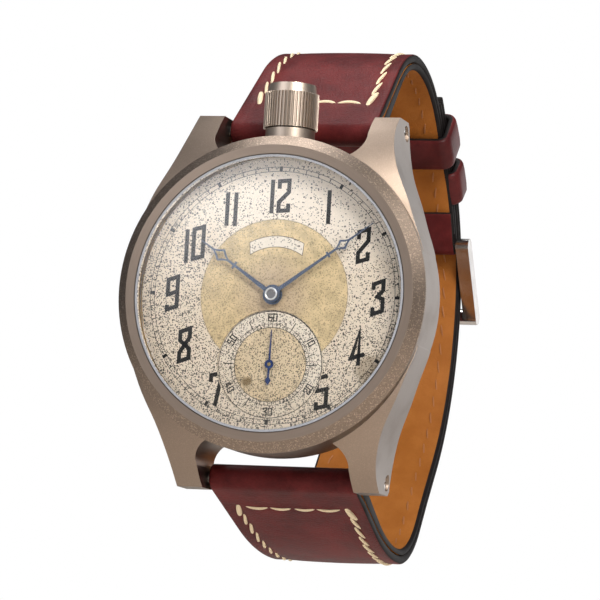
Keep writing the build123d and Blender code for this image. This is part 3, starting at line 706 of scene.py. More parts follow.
@dataclass(frozen=True)
class DialFinish:
    """Aged silvered dial with a gilt circular-brushed centre."""

    name: str
    silver: Colour
    gilt: Colour
    bloom: Colour
    gilt_radius: float
    centre: tuple[float, float, float] = (0.0, 0.0, 0.0)
    density: float = 0.5
    fall: float = 1.0
    rubbed: float = 0.55
    blot: tuple[float, float, float] = (0.0, 1.0, 0.0)
    blot_reach: float = 1.2
    blot_depth: float = 0.85
    bloom_radius: float = 5.5

    def build(self, effects: Effects) -> bpy.types.Material:
        """Make the material.

        Args:
            effects: The shared node groups.

        Returns:
            The new material.
        """
        material, graph, shader = new_material(self.name)
        shader.inputs["Metallic"].default_value = 0.25
        turned = graph.group(effects.turning, Centre=self.centre, Scale=3500.0).outputs
        age = graph.group(effects.pitting, Density=self.density, Fall=self.fall).outputs
        radius = turned["Radius"]
        inside = graph.minus(
            1.0, graph.ramp(radius, (self.gilt_radius - 0.04) * MM, (self.gilt_radius + 0.04) * MM)
        )
        heart = graph.minus(
            1.0, graph.ramp(radius, self.bloom_radius * 0.45 * MM, self.bloom_radius * 1.25 * MM)
        )
        cloudy = graph.ramp(graph.noise(graph.place(), 520.0, 5.0, 0.68), 0.36, 0.64)
        gilt = graph.mix(
            cloudy, tuple(c * 0.78 for c in self.gilt), tuple(min(1, c * 1.14) for c in self.gilt)
        )
        gilt = graph.mix(graph.times(heart, 0.85), gilt, self.bloom)
        gilt = graph.mix(graph.times(turned["Lines"], 0.25), gilt, tuple(c * 0.6 for c in self.gilt))
        frost = graph.noise(graph.place(), 5200.0, 2.0, 0.6)
        silver = graph.mix(
            frost, tuple(c * 0.84 for c in self.silver), tuple(min(1, c * 1.1) for c in self.silver)
        )
        base = graph.mix(inside, silver, gilt)
        edge_in = graph.ramp(radius, (self.gilt_radius - 0.14) * MM, (self.gilt_radius - 0.02) * MM)
        edge_out = graph.minus(
            1.0, graph.ramp(radius, (self.gilt_radius + 0.02) * MM, (self.gilt_radius + 0.1) * MM)
        )
        base = graph.mix(graph.times(graph.times(edge_in, edge_out), 0.6), base, (0.25, 0.2, 0.13))
        base = graph.mix(graph.times(age["Stain"], 0.32), base, (0.50, 0.36, 0.18))
        spot_share = graph.minus(0.95, graph.times(inside, self.rubbed))
        base = graph.mix(graph.times(age["Spots"], spot_share), base, (0.030, 0.023, 0.017))
        # One dark brown patch with a ragged edge, at a given place, reach and depth.
        base = graph.mix(self._blot(graph), base, (0.14, 0.085, 0.025))
        graph.tree.links.new(base, shader.inputs["Base Color"])
        rough = graph.math("MULTIPLY_ADD", age["Spots"], 0.3, 0.42)
        graph.tree.links.new(rough, shader.inputs["Roughness"])
        relief = graph.plus(graph.times(frost, 0.5), graph.times(age["Spots"], -0.8))
        graph.tree.links.new(graph.bump(relief, 0.25, 0.00004), shader.inputs["Normal"])
        return material

    def _blot(self, graph: Graph) -> bpy.types.NodeSocket:
        """Return the mask of the one dark brown patch with a ragged edge.

        Args:
            graph: The material's graph.

        Returns:
            The mask.
        """
        away = graph.vector("SUBTRACT", graph.place(), self.blot)
        reach = graph.add("ShaderNodeVectorMath", {"operation": "LENGTH"}, i0=away).outputs["Value"]
        ragged = graph.math("MULTIPLY_ADD", graph.noise(graph.place(), 1500.0, 3.0), 0.0011, reach)
        edge = graph.ramp(ragged, self.blot_reach * 0.83 * MM, self.blot_reach * 1.3 * MM)
        return graph.minus(self.blot_depth, graph.times(edge, self.blot_depth))


@dataclass(frozen=True)
class LeatherFinish:
    """Leather with pores, mottled colour and a waxed shine."""

    name: str
    colour: Colour
    deep: Colour
    roughness: float
    gloss: float
    relief: float = 0.35
    grain: float = 900.0

    def build(self, effects: Effects) -> bpy.types.Material:
        """Make the material.

        Args:
            effects: The shared node groups.

        Returns:
            The new material.
        """
        material, graph, shader = new_material(self.name)
        grain = graph.group(effects.grain, Scale=self.grain).outputs
        marks = graph.group(effects.handling, Amount=1.0).outputs
        tint = graph.mix(graph.ramp(grain["Mottle"], 0.3, 0.72), self.deep, self.colour)
        tint = graph.mix(graph.times(graph.minus(1.0, grain["Height"]), 0.35), tint, self.deep)
        tint = graph.mix(
            graph.times(marks["Smudge"], 0.12), tint, tuple(min(1, c * 1.5 + 0.02) for c in self.colour)
        )
        graph.tree.links.new(tint, shader.inputs["Base Color"])
        rough = graph.math("MULTIPLY_ADD", grain["Mottle"], 0.2, self.roughness - 0.1)
        graph.tree.links.new(rough, shader.inputs["Roughness"])
        shader.inputs["Specular IOR Level"].default_value = 0.09
        shader.inputs["Coat Weight"].default_value = self.gloss
        shader.inputs["Coat Roughness"].default_value = 0.28
        height = graph.plus(grain["Height"], graph.times(grain["Mottle"], 0.6))
        graph.tree.links.new(graph.bump(height, self.relief, 0.00012), shader.inputs["Normal"])
        return material


@dataclass(frozen=True)
class PlainFinish:
    """Paint, ink, thread or rubber with a fine uneven surface."""

    name: str
    colour: Colour
    roughness: float
    scale: float = 3000.0
    relief: float = 0.2
    fade: float = 0.25
    shine: float = 0.5

    def build(self, effects: Effects) -> bpy.types.Material:
        """Make the material.

        Args:
            effects: The shared node groups.

        Returns:
            The new material.
        """
        material, graph, shader = new_material(self.name)
        shader.inputs["Specular IOR Level"].default_value = self.shine
        noise = graph.noise(graph.place(), self.scale, 3.0, 0.65)
        marks = graph.group(effects.handling, Amount=1.0).outputs
        lifted = tuple(min(1.0, channel * (1 + self.fade) + self.fade * 0.08) for channel in self.colour)
        tint = graph.mix(
            graph.ramp(noise, 0.3, 0.7), tuple(c * (1 - self.fade * 0.5) for c in self.colour), lifted
        )
        graph.tree.links.new(tint, shader.inputs["Base Color"])
        graph.tree.links.new(
            graph.math("MULTIPLY_ADD", marks["Smudge"], 0.1, self.roughness), shader.inputs["Roughness"]
        )
        graph.tree.links.new(graph.bump(noise, self.relief, 0.00005), shader.inputs["Normal"])
        return material


@dataclass(frozen=True)
class GlassFinish:
    """Clear crystal or tinted jewel that lets light reach what lies under it."""

    name: str
    colour: Colour
    ior: float
    haze: float = 0.0

    def build(self, effects: Effects) -> bpy.types.Material:
        """Make the material.

        Args:
            effects: The shared node groups.

        Returns:
            The new material.
        """
        material, graph, shader = new_material(self.name)
        shader.inputs["Base Color"].default_value = rgba(self.colour)
        shader.inputs["Transmission Weight"].default_value = 1.0
        shader.inputs["IOR"].default_value = self.ior
        marks = graph.group(effects.handling, Amount=1.0).outputs
        graph.tree.links.new(
            graph.math("MULTIPLY_ADD", marks["Smudge"], 0.03, self.haze), shader.inputs["Roughness"]
        )
        clear = graph.add("ShaderNodeBsdfTransparent", Color=rgba(self.colour))
        path = graph.add("ShaderNodeLightPath").outputs
        either = graph.math("MAXIMUM", path["Is Shadow Ray"], path["Is Diffuse Ray"])
        both = graph.add("ShaderNodeMixShader", i0=either, i1=shader.outputs[0], i2=clear.outputs[0])
        outlet = next(node for node in material.node_tree.nodes if node.type == "OUTPUT_MATERIAL")
        graph.tree.links.new(both.outputs[0], outlet.inputs["Surface"])
        return material


class Wardrobe:
    """Every finish of the watch, built once and found by name."""

    def __init__(self, effects: Effects) -> None:
        """Build the materials.

        Args:
            effects: The shared node groups.
        """
        titanium: Colour = (0.335, 0.262, 0.208)
        gold: Colour = (0.78, 0.56, 0.24)
        steel: Colour = (0.62, 0.61, 0.60)
        balance = (-0.0092, 0.0, -0.0022)
        barrel = (0.0053, 0.0, 0.00757)
        crown_wheel = (-0.0009, 0.0, 0.0129)
        sub_dial = (0.0, 0.0, -0.010)
        finishes = [
            CaseFinish("blasted_titanium", titanium, (0.245, 0.200, 0.170)),
            MetalFinish(
                "satin_titanium", (0.47, 0.43, 0.40), 0.4, MetalTexture.SATIN, stretch=(0.05, 1.0, 0.05),
                relief=0.25
            ),
            MetalFinish("turned_titanium", titanium, 0.38, MetalTexture.TURNED, relief=0.25),
            BezelFinish("bezel_titanium", titanium, 21.49),
            KnurlFinish("knurled_titanium", (0.56, 0.465, 0.385), (0.0, -5.2), (3.70, 3.88)),
            MetalFinish("polished_steel", steel, 0.16, MetalTexture.POLISHED, relief=0.05),
            MetalFinish("cap_steel", (0.92, 0.92, 0.93), 0.36, MetalTexture.POLISHED, relief=0.0, marks=0.3),
            MetalFinish("bright_steel", (0.36, 0.35, 0.34), 0.3, MetalTexture.TURNED, relief=0.1),
            MetalFinish("satin_steel", steel, 0.3, MetalTexture.SATIN, relief=0.2),
            MetalFinish("snailed_ratchet", steel, 0.26, MetalTexture.TURNED, centre=barrel, relief=0.3),
            MetalFinish(
                "snailed_crown_wheel", steel, 0.26, MetalTexture.TURNED, centre=crown_wheel, relief=0.3
            ),
            MetalFinish("buckle_steel", (0.55, 0.52, 0.50), 0.2, MetalTexture.POLISHED, relief=0.08),
            MetalFinish("gilt_brass", gold, 0.28, MetalTexture.TURNED, relief=0.15),
            MetalFinish("gilt_balance", gold, 0.2, MetalTexture.TURNED, centre=balance, relief=0.15),
            MetalFinish("striped_nickel", (0.60, 0.58, 0.54), 0.3, MetalTexture.STRIPED, relief=0.35),
            MetalFinish("plain_nickel", (0.55, 0.53, 0.5), 0.34, MetalTexture.TURNED, relief=0.2),
            BluedFinish("blued_steel"),
            BluedFinish("deep_blue", (0.03, 0.06, 0.20), (0.07, 0.13, 0.34)),
            BluedFinish("blued_hands", (0.12, 0.155, 0.225), (0.23, 0.28, 0.37)),
            DialFinish(
                "aged_dial", (0.88, 0.78, 0.64), (0.72, 0.56, 0.31), (0.56, 0.43, 0.30), 11.0, density=0.34,
                fall=2.1, blot=(0.0150, -0.008, -0.0105), blot_reach=2.6, blot_depth=0.5
            ),
            DialFinish(
                "aged_sub_dial", (0.80, 0.71, 0.57), (0.72, 0.57, 0.36), (0.70, 0.56, 0.36), 5.35, sub_dial,
                0.6, 0.9, 0.1, (-0.0034, -0.00782, -0.0126)
            ),
            DialFinish(
                "aged_plate", (0.84, 0.76, 0.63), (0.84, 0.76, 0.63), (0.84, 0.76, 0.63), 0.1, density=0.2
            ),
            LeatherFinish(
                "burgundy_leather", (0.148, 0.021, 0.021), (0.062, 0.009, 0.010), 0.42, 0.0, 0.3, 1500.0
            ),
            LeatherFinish(
                "keeper_leather", (0.115, 0.018, 0.018), (0.05, 0.008, 0.009), 0.44, 0.12, 0.22, 1500.0
            ),
            LeatherFinish("tan_lining", (0.37, 0.135, 0.028), (0.26, 0.085, 0.014), 0.62, 0.0, 0.25, 1500.0),
            PlainFinish("edge_paint", (0.009, 0.007, 0.007), 0.6, 900.0, 0.4, 0.04, shine=0.12),
            PlainFinish("cream_thread", (0.72, 0.60, 0.40), 0.62, 9000.0, 0.6, 0.25),
            PlainFinish("worn_thread", (0.30, 0.11, 0.028), 0.65, 9000.0, 0.6, 0.2),
            PlainFinish("dial_ink", (0.012, 0.011, 0.010), 0.8, 2600.0, 0.1, 0.1, shine=0.1),
            PlainFinish("brown_ink", (0.10, 0.07, 0.045), 0.5, 2600.0, 0.1, 0.5),
            PlainFinish("seal_rubber", (0.02, 0.02, 0.02), 0.5, 2000.0, 0.2, 0.3),
            PlainFinish("crystal_seal", (0.30, 0.31, 0.34), 0.3, 2000.0, 0.05, 0.1),
            GlassFinish("crystal_glass", (0.97, 0.98, 1.0), 1.5),
            GlassFinish("ruby", (0.62, 0.03, 0.10), 1.76, 0.05),
        ]
        self.items = {finish.name: finish.build(effects) for finish in finishes}

    def get(self, name: str) -> bpy.types.Material:
        """Return a material by name."""
        return self.items[name]


def dress(node: str, material: bpy.types.Material) -> None:
    """Give a CAD node's object one material.

    Args:
        node: The CAD node's name.
        material: The material to assign.
    """
    thing = bpy.data.objects[node]
    thing.data.materials.clear()
    thing.data.materials.append(material)
    LOG.info("dressed %s in %s", node, material.name)


# --- mesh helpers -------------------------------------------------------------------
def make_object(name: str, mesh: bpy.types.Mesh, materials: Iterable[bpy.types.Material]) -> bpy.types.Object:
    """Link a new object with its materials.

    Args:
        name: The object's name.
        mesh: Its mesh.
        materials: Its materials in slot order.

    Returns:
        The new object.
    """
    thing = bpy.data.objects.new(name, mesh)
    bpy.context.scene.collection.objects.link(thing)
    if not mesh.materials:
        for material in materials:
            mesh.materials.append(material)
    return thing


def finish_mesh(builder: bmesh.types.BMesh, name: str, smooth: bool = True) -> bpy.types.Mesh:
    """Close, orient and store a mesh.

    Args:
        builder: The mesh under construction.
        name: The mesh's name.
        smooth: True for smooth shading.

    Returns:
        The stored mesh.
    """
    bmesh.ops.remove_doubles(builder, verts=builder.verts, dist=1e-7)
    bmesh.ops.recalc_face_normals(builder, faces=builder.faces)
    for face in builder.faces:
        face.smooth = smooth
    mesh = bpy.data.meshes.new(name)
    builder.to_mesh(mesh)
    builder.free()
    return mesh


def settle(piece: bpy.types.Object, body: str, nodes: Sequence[str] = ()) -> None:
    """Tell the frame what a finished piece rides on and stands for.

    Args:
        piece: The finished piece.
        body: The CAD body it moves with.
        nodes: CAD nodes it takes the place of.
    """
    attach(piece, body)
    if nodes:
        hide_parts(*nodes)
    LOG.info("%s rides on %s with %d faces", piece.name, body, len(piece.data.polygons))


def freeze(thing: bpy.types.Object) -> bpy.types.Object:
    """Turn an object's evaluated geometry into a plain mesh.

    Args:
        thing: An object with a live modifier.

    Returns:
        The same object with the result as its mesh and no modifier.
    """
    bpy.context.view_layer.update()
    graph = bpy.context.evaluated_depsgraph_get()
    mesh = bpy.data.meshes.new_from_object(thing.evaluated_get(graph))
    thing.modifiers.clear()
    thing.data = mesh
    return thing


# --- geometry-node trees ----------------------------------------------------------
class Repeats:
    """The geometry-node trees that place what repeats."""

    def __init__(self) -> None:
        """Build every tree once."""
        self.stitches = self._stitches()
        self.dial_bars = self._dial_bars()

    def _stitches(self) -> bpy.types.NodeTree:
        """Lay one swollen, curved stitch on each point of the input mesh."""
        inputs = {
            "Geometry": (GEOMETRY, None),
            "Length": (FLOAT, 0.003),
            "Thickness": (FLOAT, 0.0003),
            "Puff": (FLOAT, 0.0003),
            "Bow": (FLOAT, 0.0),
            "Seed": ("NodeSocketInt", 7),
            "Thread": ("NodeSocketMaterial", None),
        }
        graph = new_group("Saddle Stitches", "GeometryNodeTree", inputs, {"Geometry": GEOMETRY})
        links = graph.tree.links
        inlet = graph.add("NodeGroupInput").outputs
        half = graph.times(inlet["Length"], 0.5)
        drop = graph.times(inlet["Puff"], -0.9)
        start = graph.add("ShaderNodeCombineXYZ", X=graph.times(half, -1.0), Z=drop).outputs[0]
        end = graph.add("ShaderNodeCombineXYZ", X=half, Z=drop).outputs[0]
        middle = graph.add(
            "ShaderNodeCombineXYZ", Y=inlet["Bow"], Z=graph.times(inlet["Puff"], 1.9)
        ).outputs[0]
        arc = graph.add("GeometryNodeCurveQuadraticBezier", Resolution=9, Start=start, Middle=middle, End=end)
        along = graph.add("GeometryNodeSplineParameter").outputs["Factor"]
        swell = graph.math("POWER", graph.times(graph.times(along, graph.minus(1.0, along)), 4.0), 0.35)
        radius = graph.add(
            "GeometryNodeSetCurveRadius", Curve=arc.outputs[0], Radius=graph.math("MAXIMUM", swell, 0.28)
        )
        ring = graph.add("GeometryNodeCurvePrimitiveCircle", Resolution=8, Radius=inlet["Thickness"])
        tube = graph.add(
            "GeometryNodeCurveToMesh", Curve=radius.outputs[0], Profile_Curve=ring.outputs[0],
            Fill_Caps=True
        )
        if "Scale" in tube.inputs:
            links.new(graph.math("MAXIMUM", swell, 0.28), tube.inputs["Scale"])
        up = graph.add("GeometryNodeInputNamedAttribute", {"data_type": "FLOAT_VECTOR"}, Name="up").outputs[0]
        run = graph.add(
            "GeometryNodeInputNamedAttribute", {"data_type": "FLOAT_VECTOR"}, Name="along"
        ).outputs[0]
        stand = graph.add("FunctionNodeAlignRotationToVector", {"axis": "Z"}, Vector=up).outputs[0]
        turn = graph.add(
            "FunctionNodeAlignRotationToVector", {"axis": "X", "pivot_axis": "Z"}, Rotation=stand,
            Vector=run
        ).outputs[0]
        size = graph.add("FunctionNodeRandomValue", {"data_type": "FLOAT_VECTOR"}, Seed=inlet["Seed"])
        size.inputs[0].default_value = (0.93, 0.88, 0.85)
        size.inputs[1].default_value = (1.05, 1.1, 1.1)
        place = graph.add(
            "GeometryNodeInstanceOnPoints", Points=inlet["Geometry"], Instance=tube.outputs[0],
            Rotation=turn, Scale=size.outputs[0]
        )
        real = graph.add("GeometryNodeRealizeInstances", Geometry=place.outputs[0])
        smooth = graph.add("GeometryNodeSetShadeSmooth", Geometry=real.outputs[0])
        paint = graph.add("GeometryNodeSetMaterial", Geometry=smooth.outputs[0], Material=inlet["Thread"])
        outlet = graph.add("NodeGroupOutput")
        links.new(paint.outputs[0], outlet.inputs[0])
        return graph.tree

    def _dial_bars(self) -> bpy.types.NodeTree:
        """Set radial bars round a circle in the dial plane."""
        inputs = {
            "Geometry": (GEOMETRY, None),
            "Count": ("NodeSocketInt", 60),
            "Radius": (FLOAT, 0.018),
            "Length": (FLOAT, 0.0006),
            "Width": (FLOAT, 0.0001),
            "Height": (FLOAT, 0.00002),
            "Place": (VECTOR, (0.0, 0.0, 0.0)),
            "Ink": ("NodeSocketMaterial", None),
        }
        graph = new_group("Dial Bars", "GeometryNodeTree", inputs, {"Geometry": GEOMETRY})
        links = graph.tree.links
        inlet = graph.add("NodeGroupInput").outputs
        circle = graph.add("GeometryNodeMeshCircle", Vertices=inlet["Count"], Radius=inlet["Radius"])
        size = graph.add(
            "ShaderNodeCombineXYZ", X=inlet["Length"], Y=inlet["Width"], Z=inlet["Height"]
        ).outputs[0]
        bar = graph.add("GeometryNodeMeshCube", Size=size)
        out = graph.add("GeometryNodeInputPosition").outputs[0]
        turn = graph.add(
            "FunctionNodeAlignRotationToVector", {"axis": "X", "pivot_axis": "Z"}, Vector=out
        ).outputs[0]
        place = graph.add(
            "GeometryNodeInstanceOnPoints", Points=circle.outputs[0], Instance=bar.outputs[0], Rotation=turn
        )
        real = graph.add("GeometryNodeRealizeInstances", Geometry=place.outputs[0])
        quarter = graph.add(
            "GeometryNodeTransform", Geometry=real.outputs[0], Rotation=(math.pi / 2, 0.0, 0.0),
            Translation=inlet["Place"]
        )
        paint = graph.add("GeometryNodeSetMaterial", Geometry=quarter.outputs[0], Material=inlet["Ink"])
        outlet = graph.add("NodeGroupOutput")
        links.new(paint.outputs[0], outlet.inputs[0])
        return graph.tree

    @staticmethod
    def apply(thing: bpy.types.Object, tree: bpy.types.NodeTree, **values: object) -> bpy.types.Object:
        """Run a tree on an object and keep the result as a plain mesh.

        Args:
            thing: The object that carries the modifier.
            tree: The geometry-node tree.
            values: Input values by name.

        Returns:
            The same object with the realised mesh.
        """
        modifier = thing.modifiers.new("repeat", "NODES")
        modifier.node_group = tree
        for item in tree.interface.items_tree:
            if item.in_out == "INPUT" and item.name in values:
                modifier[item.identifier] = values[item.name]
        return freeze(thing)


# --- dial ------------------------------------------------------------------------------
GLYPHS: dict[str, list[list[Point]]] = {
    "0": [[(0.1, 0.06), (0.1, 0.94), (0.9, 0.94), (0.9, 0.06), (0.1, 0.06)]],
    "1": [[(0.5, 0.0), (0.5, 1.0)]],
    "2": [[
        (0.1, 0.72), (0.1, 0.94), (0.9, 0.94), (0.9, 0.6), (0.1, 0.32), (0.1, 0.06), (0.9, 0.06),
        (0.9, 0.26)
    ]],
    "3": [[
        (0.1, 0.78), (0.1, 0.94), (0.9, 0.94), (0.9, 0.66), (0.45, 0.53), (0.9, 0.4), (0.9, 0.06),
        (0.1, 0.06), (0.1, 0.26)
    ]],
    "4": [[(0.62, 0.0), (0.62, 1.0), (0.02, 0.28), (1.1, 0.28)]],
    "5": [[(0.95, 0.94), (0.1, 0.94), (0.1, 0.56), (0.9, 0.56), (0.9, 0.06), (0.1, 0.06), (0.1, 0.24)]],
    "6": [[(0.9, 0.8), (0.9, 0.94), (0.1, 0.94), (0.1, 0.06), (0.9, 0.06), (0.9, 0.5), (0.1, 0.5)]],
    "7": [[(0.1, 0.74), (0.1, 0.94), (0.9, 0.94), (0.9, 0.7), (0.55, 0.0)]],
    "8": [[
        (0.1, 0.94), (0.9, 0.94), (0.9, 0.68), (0.1, 0.32), (0.1, 0.06), (0.9, 0.06), (0.9, 0.34),
        (0.1, 0.68), (0.1, 0.94)
    ]],
    "9": [[(0.1, 0.2), (0.1, 0.06), (0.9, 0.06), (0.9, 0.94), (0.1, 0.94), (0.1, 0.5), (0.9, 0.5)]],
}


def stroke(points: Sequence[Point], width: float) -> tuple[list[Point], list[Point]]:
    """Offset an open or closed line to both sides with mitred corners.

    Args:
        points: The line; equal ends make it closed.
        width: The full stroke width.

    Returns:
        The left and right offset points.
    """
    closed = points[0] == points[-1] and len(points) > 2
    line = [Vector(point) for point in (points[:-1] if closed else points)]
    left, right = [], []
    count = len(line)
    for index, point in enumerate(line):
        before = line[index - 1] if closed or index else None
        after = line[(index + 1) % count] if closed or index < count - 1 else None
        into = (point - before).normalized() if before is not None else None
        out = (after - point).normalized() if after is not None else None
        first = into or out
        second = out or into
        normal = (Vector((-first.y, first.x)) + Vector((-second.y, second.x))).normalized()
        spread = max(0.35, normal.dot(Vector((-first.y, first.x))))
        reach = width / 2 / spread
        left.append(tuple(point + normal * reach))
        right.append(tuple(point - normal * reach))
    if closed:
        left.append(left[0])
        right.append(right[0])
    return left, right


@dataclass
class InkBuilder:
    """Collects flat printed shapes in the dial plane as one thin mesh."""

    face_y: float
    height: float = 0.014
    clear: tuple[float, float, float] | None = None
    builder: bmesh.types.BMesh = field(default_factory=bmesh.new)

    def trimmed(self, left: Sequence[Point], right: Sequence[Point]) -> None:
        """Add a strip, leaving out what falls inside the circle kept clear.

        Args:
            left: Points of one side.
            right: Points of the other side.
        """
        if self.clear is None:
            self.strip(left, right)
            return
        run: list[tuple[Point, Point]] = []
        for near, far in [*self._fine(left, right), (None, None)]:
            cut = self._outside(near, far) if near else None
            if cut:
                run.append(cut)
                continue
            if len(run) > 1:
                self.strip([pair[0] for pair in run], [pair[1] for pair in run])
            run = []

    @staticmethod
    def _fine(left: Sequence[Point], right: Sequence[Point]) -> list[tuple[Point, Point]]:
        """Return a strip's pairs of points at short steps along it."""
        pairs = []
        for index in range(len(left) - 1):
            ends = (left[index], right[index], left[index + 1], right[index + 1])
            steps = max(1, math.ceil(math.dist(ends[0], ends[2]) / 0.08))
            for step in range(steps + (index == len(left) - 2)):
                share = step / steps
                near = tuple(a + (b - a) * share for a, b in zip(ends[0], ends[2]))
                far = tuple(a + (b - a) * share for a, b in zip(ends[1], ends[3]))
                pairs.append((near, far))
        return pairs

    def _outside(self, near: Point, far: Point) -> tuple[Point, Point] | None:
        """Return the part of a cross-line outside the circle, or None.

        Args:
            near: One end of the cross-line.
            far: Its other end.

        Returns:
            The two ends of what is left.
        """
        centre, radius = self.clear[:2], self.clear[2]
        hidden = [math.dist(point, centre) < radius for point in (near, far)]
        if all(hidden):
            return None
        if not any(hidden):
            return near, far
        inner, outer = (near, far) if hidden[0] else (far, near)
        for _ in range(20):
            middle = ((inner[0] + outer[0]) / 2, (inner[1] + outer[1]) / 2)
            if math.dist(middle, centre) < radius:
                inner = middle
            else:
                outer = middle
        return (outer, far) if hidden[0] else (near, outer)

    def strip(self, left: Sequence[Point], right: Sequence[Point]) -> None:
        """Add a strip between two lines of points, in mm.

        Args:
            left: Points of one side.
            right: Points of the other side.
        """
        rows = []
        for near, far in zip(left, right):
            row = []
            for (x, z), y in (
                    (near, self.face_y - self.height), (far, self.face_y - self.height), (far, self.face_y),
                    (near, self.face_y)
            ):
                row.append(self.builder.verts.new((x * MM, y * MM, z * MM)))
            rows.append(row)
        for first, second in zip(rows, rows[1:]):
            for index in range(4):
                after = (index + 1) % 4
                self.builder.faces.new((first[index], first[after], second[after], second[index]))
        if Vector(left[0]) != Vector(left[-1]):
            self.builder.faces.new(rows[0])
            self.builder.faces.new(rows[-1])

    def ring(
            self, radius: float, width: float, at: Point = (0.0, 0.0), start: float = 0.0,
            sweep: float = 360.0
    ) -> None:
        """Add a circular line.

        Args:
            radius: Middle radius in mm.
            width: Line width in mm.
            at: Centre (x, z) in mm.
            start: First angle in degrees clockwise from 12.
            sweep: Swept angle in degrees.
        """
        steps = max(24, int(sweep / 2))
        inner, outer = [], []
        for index in range(steps + 1):
            turn = math.radians(start + sweep * index / steps)
            for points, reach in ((inner, radius - width / 2), (outer, radius + width / 2)):
                points.append((at[0] + reach * math.sin(turn), at[1] + reach * math.cos(turn)))
        if sweep >= 360:
            inner[-1], outer[-1] = inner[0], outer[0]
        self.strip(inner, outer)

    def text(
            self, word: str, at: Point, size: Point, width: float, turn: float = 0.0, slope: float = 0.0
    ) -> None:
        """Add a number drawn with mitred strokes.

        Args:
            word: The digits.
            at: Centre (x, z) in mm.
            size: Width and height of one digit in mm.
            width: Stroke width in mm.
            turn: Clockwise turn in degrees.
            slope: Rise of the level strokes towards the right.
        """
        advances = [size[0] * (0.46 if digit == "1" else 1.0) for digit in word]
        gap = size[0] * 0.24
        total = sum(advances) + gap * (len(word) - 1)
        cursor = -total / 2
        angle = math.radians(-turn)
        for digit, advance in zip(word, advances):
            for line in GLYPHS[digit]:
                centre = cursor + advance / 2
                placed = [
                    (
                        centre + (x - 0.5) * size[0],
                        (y - 0.5) * size[1] + slope * (centre + (x - 0.5) * size[0])
                    )
                    for x, y in line
                ]
                spun = [
                    (
                        x * math.cos(angle) - y * math.sin(angle) + at[0],
                        x * math.sin(angle) + y * math.cos(angle) + at[1]
                    )
                    for x, y in placed
                ]
                self.trimmed(*stroke(spun, width))
            cursor += advance + gap

    def build(self, name: str) -> bpy.types.Mesh:
        """Return the finished mesh."""
        return finish_mesh(self.builder, name, smooth=False)


def clock(radius: float, degrees: float, at: Point = (0.0, 0.0)) -> Point:
    """Plan point (x, z) at a clock angle from 12."""
    turn = math.radians(degrees)
    return (at[0] + radius * math.sin(turn), at[1] + radius * math.cos(turn))


